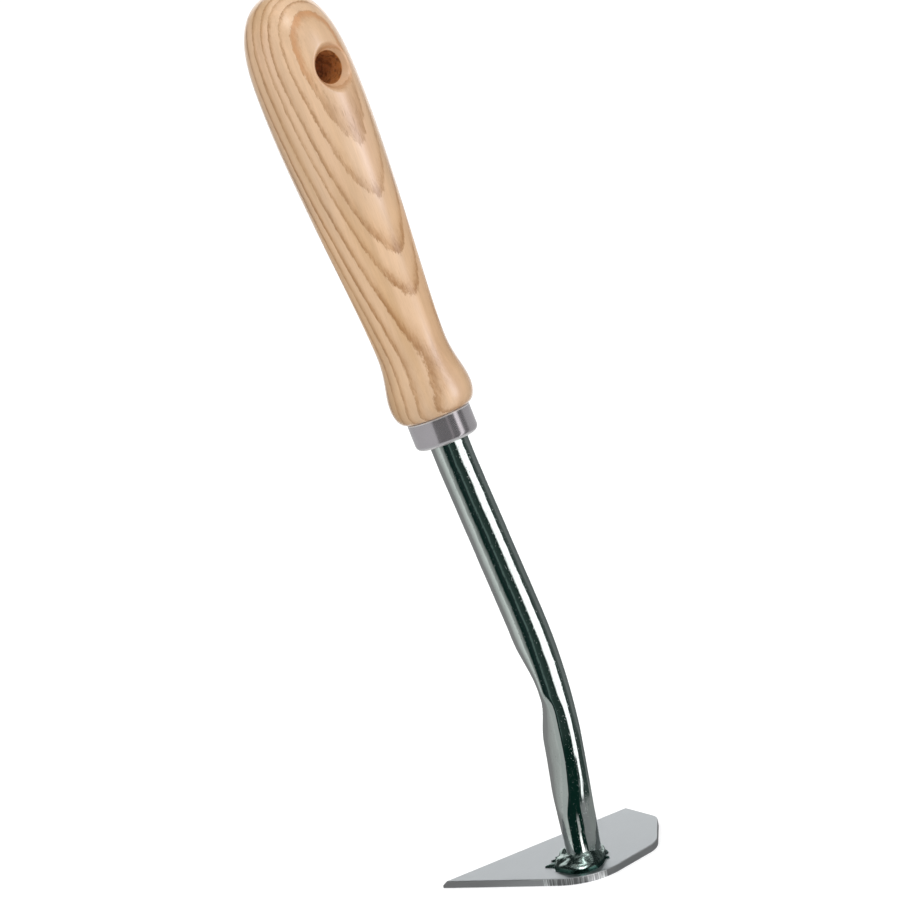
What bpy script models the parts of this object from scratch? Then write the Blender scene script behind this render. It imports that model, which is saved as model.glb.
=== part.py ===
"""Hand hoe: a ground steel blade welded to a bent steel tube, with a ferrule and a turned ash handle.

Frame: metres, +Z up. The blade lies flat. The origin is on its underside, under the foot of the neck.
+Y points at the cutting edge, and the blade's pointed tip is at -X. The neck rises along +Z, then
leans over the cutting edge to the handle.
"""

import math

import bmesh
import bpy
from mathutils import Matrix, Vector

# Blade, seen from above. Reaches are measured from the axis of the neck's foot.
BLADE_THICKNESS = 0.0024
TIP_REACH = 0.0381
EDGE_REACH = 0.0198
BACK_REACH = 0.0139
BLUNT_REACH = 0.0300
BLUNT_END_LENGTH = 0.0145
TIP_ANGLE = 47.5
BACK_ANGLE = 13.1
BLUNT_ANGLE = 57.0
END_ANGLE = 14.0
TIP_ROUND = 0.0004
HEEL_ROUND = 0.019
BACK_CORNER_ROUND = 0.008
BLUNT_CORNER_ROUND = 0.0045
END_CORNER_ROUND = 0.0015
BEVEL_WIDTH = 0.0015
EDGE_LAND = 0.0005

# Neck tube and its route: a bend above the blade, and a slight set back just under the ferrule.
# The run is measured from the bend's corner to the ferrule.
TUBE_DIAMETER = 0.012
TUBE_WALL = 0.0012
BEND_HEIGHT = 0.0598
BEND_RADIUS = 0.120
NECK_LEAN = 21.5
NECK_TURN = -11.6
NECK_RUN = 0.0778
SET_BACK = 2.9
SET_RADIUS = 0.150
STRAIGHT_BELOW_FERRULE = 0.0022
TUBE_INSERTION = 0.058

# Dent pressed in on the inner side of the bend, and the long flat that runs from it down to the foot,
# where it is deeper
DENT_BELOW_BEND = 0.0032
DENT_DEPTH = 0.0028
DENT_REACH_DOWN = 0.016
DENT_REACH_UP = 0.019
DENT_TURN = -44.0
LONG_FLAT = 0.00035
FOOT_FLAT = 0.0015
FOOT_FLAT_HEIGHT = 0.022

# Flat pressed on the outer side below the bend: it starts, is full, is still full and ends at these
# distances along the route
PRESS_TURN = -105.8
PRESS_DEPTH = 0.00165
PRESS_ALONG = (0.012, 0.034, 0.048, 0.058)

# Weld bead round the foot of the neck. It flows further out round the lobe's direction, in degrees.
WELD_RISE = 0.0040
WELD_SPREAD = 0.0013
WELD_LOBE = 0.0050
WELD_LOBE_DIRECTION = 238.0
WELD_LOBE_WIDTH = 88.0
WELD_TOE = 0.0004
WELD_CREST = 0.0003
WELD_WAVE = 0.0003

# Ferrule
FERRULE_DIAMETER = 0.0194
FERRULE_HEIGHT = 0.0086
FERRULE_WALL = 0.001
FERRULE_ROUND = 0.0019
FERRULE_INNER_ROUND = 0.0009

# Handle. Stations are measured along its axis from the ferrule's lower face.
BULB_STATION = 0.0145
BULB_DIAMETER = 0.0254
WAIST_STATION = 0.0302
WAIST_DIAMETER = 0.0211
BELLY_DIAMETER = 0.0301
HANDLE_LENGTH = 0.1412

# The butt's length is from the belly to the end. The hanging hole is placed from the end too.
BUTT_LENGTH = 0.0332
HANG_HOLE_FROM_END = 0.0252
HANG_HOLE_TURN = 4.5
HANG_HOLE_DIAMETER = 0.0099
HANG_HOLE_SINK_WIDTH = 0.0026
HANG_HOLE_SINK_DEPTH = 0.0031

# Clearances: between pieces, past the tube's end in the handle, and beyond a face that is cut
FIT_GAP = 0.0003
BORE_END_GAP = 0.002
CUT_MARGIN = 0.002

# How far each end of a profile's curve keeps to its own diameter, as shares of the span
BULB_PULL, WAIST_PULL_DOWN = 0.30, 0.45
WAIST_PULL_UP, BELLY_PULL = 0.20, 0.35
DOME_FULLNESS, DOME_ROUNDNESS = 3.0, 0.45

# The bead's hollow face, as shares of its spread and rise, and the waves round it, as
# (waves in a turn, share of the wave's height, phase)
WELD_HOLLOW = ((0.48, 0.22), (0.13, 0.58))
WELD_WAVES = ((3.0, 1.0, 0.0), (7.0, 0.6, 1.0))

# Fineness of the round surfaces
TUBE_SIDES = 40
TURNED_STEPS = 40
WELD_SIDES = 40
SPAN_STEPS = 9
ARC_STEP = 9.0
BEND_STEP = 0.0024
JOIN_DISTANCE = 0.00001
SHARP_ANGLE = 35.0

# Finishes: colour, roughness, metallic
ASH = ((0.72, 0.50, 0.30), 0.35, 0.0)
FERRULE_STEEL = ((0.42, 0.42, 0.43), 0.28, 1.0)
CHROMED_STEEL = ((0.62, 0.65, 0.64), 0.10, 1.0)
WELD_STEEL = ((0.35, 0.39, 0.38), 0.18, 1.0)
BLADE_STEEL = ((0.52, 0.53, 0.54), 0.40, 1.0)


def clear_scene():
    """Removes whatever the scene starts with."""
    for thing in list(bpy.data.objects):
        bpy.data.objects.remove(thing, do_unlink=True)


def new_collection(name):
    made = bpy.data.collections.new(name)
    bpy.context.scene.collection.children.link(made)
    return made


def material(name, finish):
    colour, roughness, metallic = finish
    made = bpy.data.materials.new(name)
    made.use_nodes = True
    shader = made.node_tree.nodes["Principled BSDF"]
    shader.inputs["Base Color"].default_value = (*colour, 1.0)
    shader.inputs["Roughness"].default_value = roughness
    shader.inputs["Metallic"].default_value = metallic
    made.diffuse_color = (*colour, 1.0)
    return made


def add_object(name, mesh, collection, parent=None):
    made = bpy.data.objects.new(name, mesh)
    collection.objects.link(made)
    made.parent = parent
    return made


def dress(piece, name, finish):
    """Gives a piece its material, and smooth shading with its real corners kept sharp."""
    piece.data.materials.clear()
    piece.data.materials.append(material(name, finish))
    piece.data.shade_smooth()
    piece.data.set_sharp_from_angle(angle=math.radians(SHARP_ANGLE))


def cut(piece, cutter, name):
    """Takes the cutter's solid out of the piece, and hides the cutter from renders."""
    cutter.hide_render = True
    cutter.display_type = "WIRE"
    boolean = piece.modifiers.new(name, "BOOLEAN")
    boolean.operation = "DIFFERENCE"
    boolean.object = cutter


def loft(name, rings):
    """Joins equal closed rings of points, one after another and the last back to the first."""
    mesh = bpy.data.meshes.new(name)
    shape = bmesh.new()
    rows = [[shape.verts.new(point) for point in ring] for ring in rings]
    for row, after in zip(rows, rows[1:] + rows[:1]):
        for side in range(len(row)):
            near = (side + 1) % len(row)
            shape.faces.new((row[side], row[near], after[near], after[side]))
    bmesh.ops.recalc_face_normals(shape, faces=shape.faces)
    shape.to_mesh(mesh)
    shape.free()
    return mesh


def turned(name, profile, collection, parent, hollow=False):
    """Turns a profile of (radius, height) points round Z with a Screw modifier.

    The profile runs down the outer side. It starts and ends on the axis, or it is hollow and closes.
    """
    mesh = bpy.data.meshes.new(name)
    points = [(radius, 0.0, height) for radius, height in profile]
    edges = [(index, index + 1) for index in range(len(points) - 1)]
    if hollow:
        edges.append((len(points) - 1, 0))
    mesh.from_pydata(points, edges, [])
    piece = add_object(name, mesh, collection, parent)
    screw = piece.modifiers.new("turning", "SCREW")
    screw.axis = "Z"
    screw.steps = TURNED_STEPS
    screw.render_steps = TURNED_STEPS
    screw.use_merge_vertices = True
    screw.merge_threshold = JOIN_DISTANCE
    return piece


def arc(centre, radius, start, end):
    """Points on an arc in the plane, from one angle in degrees to another."""
    count = max(2, math.ceil(abs(end - start) / ARC_STEP))
    angles = [math.radians(start + (end - start) * step / count) for step in range(count + 1)]
    return [(centre[0] + radius * math.cos(a), centre[1] + radius * math.sin(a)) for a in angles]


def crossing(start, angle, other_start, other_angle):
    """The point where two lines in the plane cross, each given by a point and an angle in degrees."""
    along = Vector((math.cos(math.radians(angle)), math.sin(math.radians(angle))))
    other = Vector((math.cos(math.radians(other_angle)), math.sin(math.radians(other_angle))))
    between = other_start - start
    return start + along * (between.cross(other) / along.cross(other))


def rounded_outline(corners):
    """A closed outline with each (point, radius) corner rounded. The corners run anticlockwise."""
    outline = []
    for index, (corner, radius) in enumerate(corners):
        before = (corners[index - 1][0] - corner).normalized()
        after = (corners[(index + 1) % len(corners)][0] - corner).normalized()
        half = before.angle(after) / 2.0
        centre = corner + (before + after).normalized() * (radius / math.sin(half))
        first = corner + before * (radius / math.tan(half)) - centre
        start = math.degrees(math.atan2(first.y, first.x))
        outline += arc(centre, radius, start, start + 180.0 - 2.0 * math.degrees(half))
    return outline


def blade_outline():
    """The blade seen from above, anticlockwise from the pointed tip."""
    tip = Vector((-TIP_REACH, EDGE_REACH))
    back = Vector((0.0, -BACK_REACH))
    blunt = Vector((BLUNT_REACH, EDGE_REACH - BLUNT_END_LENGTH))
    heel = crossing(tip, -TIP_ANGLE, back, BACK_ANGLE)
    back_corner = crossing(back, BACK_ANGLE, blunt, BLUNT_ANGLE)
    end = crossing(blunt, 90.0 + END_ANGLE, tip, 0.0)
    return rounded_outline((
        (tip, TIP_ROUND),
        (heel, HEEL_ROUND),
        (back_corner, BACK_CORNER_ROUND),
        (blunt, BLUNT_CORNER_ROUND),
        (end, END_CORNER_ROUND),
    ))


def filled_plate(name, outline, thickness, collection):
    """A flat plate standing on z = 0, from a filled 2D curve whose loose caps are welded on."""
    curve = bpy.data.curves.new(name, "CURVE")
    curve.dimensions = "2D"
    curve.fill_mode = "BOTH"
    curve.extrude = thickness / 2.0
    spline = curve.splines.new("POLY")
    spline.points.add(len(outline) - 1)
    for point, (x, y) in zip(spline.points, outline):
        point.co = (x, y, 0.0, 1.0)
    spline.use_cyclic_u = True
    drawn = add_object(name + "_outline", curve, collection)
    drawn.location.z = thickness / 2.0
    graph = bpy.context.evaluated_depsgraph_get()
    mesh = bpy.data.meshes.new_from_object(drawn.evaluated_get(graph))
    shape = bmesh.new()
    shape.from_mesh(mesh)
    bmesh.ops.remove_doubles(shape, verts=shape.verts, dist=JOIN_DISTANCE)
    bmesh.ops.recalc_face_normals(shape, faces=shape.faces)
    shape.to_mesh(mesh)
    shape.free()
    plate = add_object(name, mesh, collection)
    plate.matrix_world = drawn.matrix_world
    bpy.data.objects.remove(drawn)
    return plate


def box_cutter(name, size, matrix, collection):
    """A box of the given size whose lower face is centred on the matrix's origin."""
    mesh = bpy.data.meshes.new(name)
    shape = bmesh.new()
    bmesh.ops.create_cube(shape, size=1.0)
    bmesh.ops.translate(shape, verts=shape.verts, vec=(0.0, 0.0, 0.5))
    bmesh.ops.scale(shape, verts=shape.verts, vec=size)
    shape.to_mesh(mesh)
    shape.free()
    made = add_object(name, mesh, collection)
    made.matrix_world = matrix
    return made


def make_blade(parts, cutters):
    """The plate, with its cutting edge ground to a bevel on the upper side."""
    blade = filled_plate("blade", blade_outline(), BLADE_THICKNESS, parts)
    drop = BLADE_THICKNESS - EDGE_LAND
    slope = math.atan2(drop, BEVEL_WIDTH)
    middle = Vector((0.0, EDGE_REACH - BEVEL_WIDTH / 2.0, BLADE_THICKNESS - drop / 2.0))
    length = 2.0 * (TIP_REACH + BLUNT_REACH)
    width = math.hypot(drop, BEVEL_WIDTH) + 2.0 * CUT_MARGIN
    place = Matrix.Translation(middle) @ Matrix.Rotation(-slope, 4, "X")
    grinder = box_cutter("edge_grind", (length, width, drop + CUT_MARGIN), place, cutters)
    cut(blade, grinder, "ground edge")
    dress(blade, "blade_steel", BLADE_STEEL)


def neck_foot():
    """The height of the tube's lower end."""
    return BLADE_THICKNESS + FIT_GAP


def neck_runs():
    """The route of the neck from its foot, as (length, curvature) runs in one upright plane."""
    bend = math.radians(NECK_LEAN)
    set_back = math.radians(SET_BACK)
    bend_tangent = BEND_RADIUS * math.tan(bend / 2.0)
    set_tangent = SET_RADIUS * math.tan(set_back / 2.0)
    return (
        (BEND_HEIGHT - neck_foot() - bend_tangent, 0.0),
        (BEND_RADIUS * bend, 1.0 / BEND_RADIUS),
        (NECK_RUN - bend_tangent - 2.0 * set_tangent - STRAIGHT_BELOW_FERRULE, 0.0),
        (SET_RADIUS * set_back, -1.0 / SET_RADIUS),
        (STRAIGHT_BELOW_FERRULE + TUBE_INSERTION, 0.0),
    )


def neck_point(distance):
    """The route's point and its direction, at a distance along it from the foot."""
    outward, height, lean = 0.0, neck_foot(), 0.0
    for length, curvature in neck_runs():
        step = min(length, distance)
        distance -= step
        after = lean + curvature * step
        if curvature:
            outward += (math.cos(lean) - math.cos(after)) / curvature
            height += (math.sin(after) - math.sin(lean)) / curvature
        else:
            outward += step * math.sin(lean)
            height += step * math.cos(lean)
        lean = after
    turn = Matrix.Rotation(math.radians(-NECK_TURN), 3, "Z")
    return turn @ Vector((0.0, outward, height)), turn @ Vector((0.0, math.sin(lean), math.cos(lean)))


def dent_distance():
    """How far along the route the dent's deepest point is: just below the middle of the bend."""
    runs = neck_runs()
    return runs[0][0] + runs[1][0] / 2.0 - DENT_BELOW_BEND


def eased(value):
    """0 to 1 smoothly, level at both ends."""
    share = min(1.0, max(0.0, value))
    return share * share * (3.0 - 2.0 * share)


def dent_at(distance):
    """How deep the tube is dented at a distance along the route."""
    away = distance - dent_distance()
    share = min(1.0, away / DENT_REACH_UP if away > 0.0 else -away / DENT_REACH_DOWN)
    bell = (1.0 + math.cos(math.pi * share)) / 2.0
    foot = (FOOT_FLAT - LONG_FLAT) * eased(1.0 - distance / FOOT_FLAT_HEIGHT)
    flat = LONG_FLAT + foot if away < 0.0 else LONG_FLAT * bell
    return flat + (DENT_DEPTH - flat) * bell


def press_at(distance):
    """How deep the outer flat is at a distance along the route."""
    start, full, still, end = PRESS_ALONG
    return PRESS_DEPTH * eased((distance - start) / (full - start)) * eased((end - distance) / (end - still))


def steps(start, end):
    """Distances from start to end, about a bend step apart."""
    count = max(1, math.ceil((end - start) / BEND_STEP))
    return [start + (end - start) * step / count for step in range(count + 1)]


def neck_stations():
    """Distances along the route: close together where the tube bends or is dented."""
    lengths = [length for length, _ in neck_runs()]
    bend_end = lengths[0] + lengths[1]
    set_start = bend_end + lengths[2]
    last = max(bend_end, dent_distance() + DENT_REACH_UP)
    shaped = steps(BEND_STEP, last) + steps(set_start, set_start + lengths[3])
    return [0.0] + shaped + [sum(lengths)]


def neck_ring(distance, radius):
    """A ring of the tube's wall, round but for its dent and its outer flat."""
    centre, along = neck_point(distance)
    north = Vector((0.0, 1.0, 0.0))
    north = (north - along * north.dot(along)).normalized()
    east = north.cross(along)
    squash = (radius - dent_at(distance)) / radius
    flat = radius - press_at(distance)
    ring = []
    for side in range(TUBE_SIDES):
        angle = 2.0 * math.pi * side / TUBE_SIDES
        inward, across = radius * math.cos(angle), radius * math.sin(angle)
        inward *= squash if inward > 0.0 else 1.0
        reach, heading = math.hypot(inward, across), math.radians(DENT_TURN) + math.atan2(across, inward)
        facing = math.cos(heading - math.radians(PRESS_TURN))
        if facing > 0.0:
            reach = min(reach, flat / facing)
        ring.append(centre + (north * math.cos(heading) + east * math.sin(heading)) * reach)
    return ring


def make_neck(parts):
    """The tube, open at both ends: its outer wall going up, and its inner wall coming down."""
    outer = TUBE_DIAMETER / 2.0
    stations = neck_stations()
    rings = [neck_ring(distance, outer) for distance in stations]
    rings += [neck_ring(distance, outer - TUBE_WALL) for distance in reversed(stations)]
    neck = add_object("neck_tube", loft("neck_tube", rings), parts)
    dress(neck, "chromed_steel", CHROMED_STEEL)


def weld_section(angle):
    """A slice of the bead: flat on the blade, upright on the tube, and hollow between toe and crest."""
    wave = sum(share * math.sin(count * angle + phase) for count, share, phase in WELD_WAVES)
    inner = TUBE_DIAMETER / 2.0 + FIT_GAP
    turn = (math.degrees(angle) - WELD_LOBE_DIRECTION + 180.0) % 360.0 - 180.0
    lobe = WELD_LOBE * eased(1.0 - abs(turn) / WELD_LOBE_WIDTH)
    toe = (WELD_SPREAD + lobe + WELD_WAVE * wave, WELD_TOE)
    crest = (WELD_CREST, WELD_RISE - WELD_WAVE * wave)
    hollow = [
        (crest[0] + (toe[0] - crest[0]) * out_share, toe[1] + (crest[1] - toe[1]) * up_share)
        for out_share, up_share in WELD_HOLLOW
    ]
    outline = [(0.0, 0.0), (toe[0], 0.0), toe, *hollow, crest, (0.0, crest[1])]
    out = Vector((math.cos(angle), math.sin(angle), 0.0))
    foot = Vector((0.0, 0.0, neck_foot()))
    return [foot + out * (inner + reach) + Vector((0.0, 0.0, height)) for reach, height in outline]


def make_weld(parts):
    angles = [2.0 * math.pi * side / WELD_SIDES for side in range(WELD_SIDES)]
    weld = add_object("weld_bead", loft("weld_bead", [weld_section(a) for a in angles]), parts)
    dress(weld, "weld_steel", WELD_STEEL)


def make_handle_axis(collection):
    """An empty at the middle of the ferrule's lower face, with +Z up the handle's axis."""
    seat, along = neck_point(sum(length for length, _ in neck_runs()) - TUBE_INSERTION)
    axis = add_object("handle_axis", None, collection)
    sideways = Vector((math.cos(math.radians(NECK_TURN)), -math.sin(math.radians(NECK_TURN)), 0.0))
    forward = along.cross(sideways)
    axis.matrix_world = Matrix.Translation(seat) @ Matrix((sideways, forward, along)).transposed().to_4x4()
    return axis


def ferrule_profile():
    """A drawn cup: a tube with a rounded lower edge and a floor that the neck passes through."""
    outer = FERRULE_DIAMETER / 2.0
    inner = outer - FERRULE_WALL
    hole = TUBE_DIAMETER / 2.0 + FIT_GAP
    outside = arc((outer - FERRULE_ROUND, FERRULE_ROUND), FERRULE_ROUND, 0.0, -90.0)
    corner = (inner - FERRULE_INNER_ROUND, FERRULE_WALL + FERRULE_INNER_ROUND)
    inside = arc(corner, FERRULE_INNER_ROUND, -90.0, 0.0)
    return (
        [(outer, FERRULE_HEIGHT)]
        + outside
        + [(hole, 0.0), (hole, FERRULE_WALL)]
        + inside
        + [(inner, FERRULE_HEIGHT)]
    )


def make_ferrule(parts, axis):
    ferrule = turned("ferrule", ferrule_profile(), parts, axis, hollow=True)
    dress(ferrule, "ferrule_steel", FERRULE_STEEL)


def swept_span(start, end, start_pull, end_pull):
    """Points of a curve between two (radius, station) points, level with the axis at both ends."""
    (radius, station), (end_radius, end_station) = start, end
    points = []
    for step in range(SPAN_STEPS + 1):
        t = step / SPAN_STEPS
        rest = 1.0 - t
        along = 3.0 * rest * rest * t * start_pull + 3.0 * rest * t * t * (1.0 - end_pull) + t**3
        rise = t * t * (3.0 - 2.0 * t)
        points.append((radius + (end_radius - radius) * rise, station + (end_station - station) * along))
    return points


def butt_dome():
    """The rounded butt of the handle, from the middle of its end down to the belly."""
    belly = BELLY_DIAMETER / 2.0
    points = []
    for step in range(SPAN_STEPS + 1):
        share = math.sin(math.pi / 2.0 * (1.0 - step / SPAN_STEPS))
        radius = belly * (1.0 - share**DOME_FULLNESS) ** DOME_ROUNDNESS
        points.append((radius, HANDLE_LENGTH - BUTT_LENGTH * (1.0 - share)))
    return points


def bulb_foot(shoulder):
    """The quarter round under the bulb, from its widest down to the ferrule's rim."""
    bulb, rim = BULB_DIAMETER / 2.0, FERRULE_DIAMETER / 2.0
    quarter = arc((0.0, 0.0), 1.0, 0.0, 90.0)
    return [(rim + (bulb - rim) * x, BULB_STATION - (BULB_STATION - shoulder) * y) for x, y in quarter]


def handle_outside():
    """The handle's visible outline, from the butt down to the ferrule's rim."""
    belly = (BELLY_DIAMETER / 2.0, HANDLE_LENGTH - BUTT_LENGTH)
    waist = (WAIST_DIAMETER / 2.0, WAIST_STATION)
    bulb = (BULB_DIAMETER / 2.0, BULB_STATION)
    upper = swept_span(belly, waist, BELLY_PULL, WAIST_PULL_UP)
    lower = swept_span(waist, bulb, WAIST_PULL_DOWN, BULB_PULL)
    return butt_dome() + upper[1:] + lower[1:] + bulb_foot(FERRULE_HEIGHT + FIT_GAP)[1:]


def tenon_profile():
    """The wood inside the ferrule, from the shoulder down to the axis."""
    radius = FERRULE_DIAMETER / 2.0 - FERRULE_WALL - FIT_GAP
    end = FERRULE_WALL + FIT_GAP
    corner = arc((radius - FERRULE_ROUND, end + FERRULE_ROUND), FERRULE_ROUND, 0.0, -90.0)
    return [(radius, FERRULE_HEIGHT + FIT_GAP)] + corner + [(0.0, end)]


def radius_at(profile, station):
    """The radius of a profile that runs downward, at a station."""
    for (radius, upper), (next_radius, lower) in zip(profile, profile[1:]):
        if lower <= station <= upper and upper > lower:
            return radius + (next_radius - radius) * (upper - station) / (upper - lower)
    return 0.0


def bore_profile():
    """The blind bore that takes the tube, open through the tenon's end."""
    radius = TUBE_DIAMETER / 2.0 + FIT_GAP
    top = TUBE_INSERTION + BORE_END_GAP
    return [(0.0, top), (radius, top), (radius, -CUT_MARGIN), (0.0, -CUT_MARGIN)]


def hang_hole_profile(surface):
    """A drill with a countersink at each end, for a surface at that distance from the axis."""
    drill = HANG_HOLE_DIAMETER / 2.0
    flare = HANG_HOLE_SINK_WIDTH / HANG_HOLE_SINK_DEPTH
    wide = (drill + HANG_HOLE_SINK_WIDTH + CUT_MARGIN * flare, surface + CUT_MARGIN)
    upper = [(0.0, wide[1]), wide, (drill, surface - HANG_HOLE_SINK_DEPTH)]
    return upper + [(radius, -height) for radius, height in reversed(upper)]


def make_handle(parts, cutters, axis):
    """The turned handle, bored for the tube and drilled across for hanging."""
    outside = handle_outside()
    handle = turned("handle", outside + tenon_profile(), parts, axis)
    cut(handle, turned("tube_bore", bore_profile(), cutters, axis), "tube bore")
    station = HANDLE_LENGTH - HANG_HOLE_FROM_END
    drill = turned("hang_hole_drill", hang_hole_profile(radius_at(outside, station)), cutters, axis)
    drill.location.z = station
    drill.rotation_euler = (math.radians(90.0), 0.0, math.radians(HANG_HOLE_TURN))
    cut(handle, drill, "hanging hole")
    dress(handle, "ash_wood", ASH)


def main():
    clear_scene()
    parts = new_collection("hand_hoe")
    cutters = new_collection("hand_hoe_cutters")
    make_blade(parts, cutters)
    make_weld(parts)
    make_neck(parts)
    axis = make_handle_axis(parts)
    make_ferrule(parts, axis)
    make_handle(parts, cutters, axis)


main()
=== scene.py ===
"""Hand hoe: the looks of a short hand hoe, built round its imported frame.

Frame: metres, +Z up. The blade lies flat, and the origin is on its underside, under the neck's foot.
+Y points at the cutting edge, and the blade's pointed tip is at -X. The neck rises along +Z, then
leans over the cutting edge to the handle.
"""

import logging
import math
import random
from collections.abc import Callable, Iterable, Sequence
from dataclasses import dataclass
from enum import Enum

import bmesh
import bpy
from mathutils import Matrix, Vector, geometry, noise


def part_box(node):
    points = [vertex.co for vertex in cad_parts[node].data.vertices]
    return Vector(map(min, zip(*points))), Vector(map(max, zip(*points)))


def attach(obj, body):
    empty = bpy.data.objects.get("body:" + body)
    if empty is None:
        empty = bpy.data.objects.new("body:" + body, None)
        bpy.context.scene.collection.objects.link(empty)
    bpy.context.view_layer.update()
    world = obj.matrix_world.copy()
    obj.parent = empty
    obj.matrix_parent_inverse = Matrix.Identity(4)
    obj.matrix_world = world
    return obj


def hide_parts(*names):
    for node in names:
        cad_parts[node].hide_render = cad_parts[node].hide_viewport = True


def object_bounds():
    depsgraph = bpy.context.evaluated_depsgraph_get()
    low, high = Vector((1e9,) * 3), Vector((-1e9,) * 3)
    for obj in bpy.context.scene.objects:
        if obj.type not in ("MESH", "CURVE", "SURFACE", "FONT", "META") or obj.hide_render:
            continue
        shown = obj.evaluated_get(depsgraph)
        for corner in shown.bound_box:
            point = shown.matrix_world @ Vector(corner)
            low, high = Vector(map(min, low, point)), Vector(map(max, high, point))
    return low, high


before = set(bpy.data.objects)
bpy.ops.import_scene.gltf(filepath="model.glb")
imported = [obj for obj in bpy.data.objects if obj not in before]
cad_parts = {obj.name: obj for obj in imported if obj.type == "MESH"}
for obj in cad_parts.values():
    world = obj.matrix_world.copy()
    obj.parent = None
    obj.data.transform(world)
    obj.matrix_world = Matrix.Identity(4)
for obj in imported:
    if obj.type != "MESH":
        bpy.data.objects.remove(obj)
cad_low, cad_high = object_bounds()

log = logging.getLogger("hand_hoe")

BODY = "root"
JOIN_DISTANCE = 0.000002
MM = 1000.0
Pair = tuple[float, float]
Triple = tuple[float, float, float]
Colour = Triple


class Slot(Enum):
    """The record's material slots."""

    BLADE = "blade_steel"
    WELD = "weld_steel"
    CHROME = "chromed_steel"
    FERRULE = "ferrule_steel"
    ASH = "ash_wood"


def joined(operation: str, reflected: bool = False) -> Callable[["Wire", "Wire | float"], "Wire"]:
    """Makes the method that joins a wire and another value by a Math node.

    Args:
        operation: the node's operation.
        reflected: whether the other value comes first.

    Returns:
        The method.
    """

    def join(wire: "Wire", other: "Wire | float") -> "Wire":
        """A Math node on the two values."""
        first, second = (other, wire) if reflected else (wire, other)
        return wire.graph.node("ShaderNodeMath", {"operation": operation}, {0: first, 1: second})

    return join


class Wire:
    """One output of a shader node, so that shader maths reads as Python: an operator adds a Math node."""

    __add__ = joined("ADD")
    __radd__ = joined("ADD", reflected=True)
    __sub__ = joined("SUBTRACT")
    __rsub__ = joined("SUBTRACT", reflected=True)
    __mul__ = joined("MULTIPLY")
    __rmul__ = joined("MULTIPLY", reflected=True)
    __truediv__ = joined("DIVIDE")
    __pow__ = joined("POWER")
    most = joined("MAXIMUM")
    angle_over = joined("ARCTAN2")

    def __init__(self, graph: "Graph", socket: bpy.types.NodeSocket) -> None:
        """Keeps the graph that the socket belongs to, and the socket."""
        self.graph = graph
        self.socket = socket

    def part(self) -> "Wire":
        """What is left of a value above its whole number."""
        return self.graph.node("ShaderNodeMath", {"operation": "FRACT"}, {0: self})

    def size(self) -> "Wire":
        """The value without its sign."""
        return self.graph.node("ShaderNodeMath", {"operation": "ABSOLUTE"}, {0: self})

    def eased(self, low: float, high: float) -> "Wire":
        """A mask that is 0 at one value and 1 at another, and smooth between them.

        Args:
            low: the value at which it is 0.
            high: the value at which it is 1, which may be the smaller one.

        Returns:
            The mask.
        """
        settings = {"interpolation_type": "SMOOTHSTEP"}
        if high > low:
            return self.graph.node("ShaderNodeMapRange", settings, {"Value": self, 1: low, 2: high})
        return 1.0 - self.graph.node("ShaderNodeMapRange", settings, {"Value": self, 1: high, 2: low})


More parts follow.
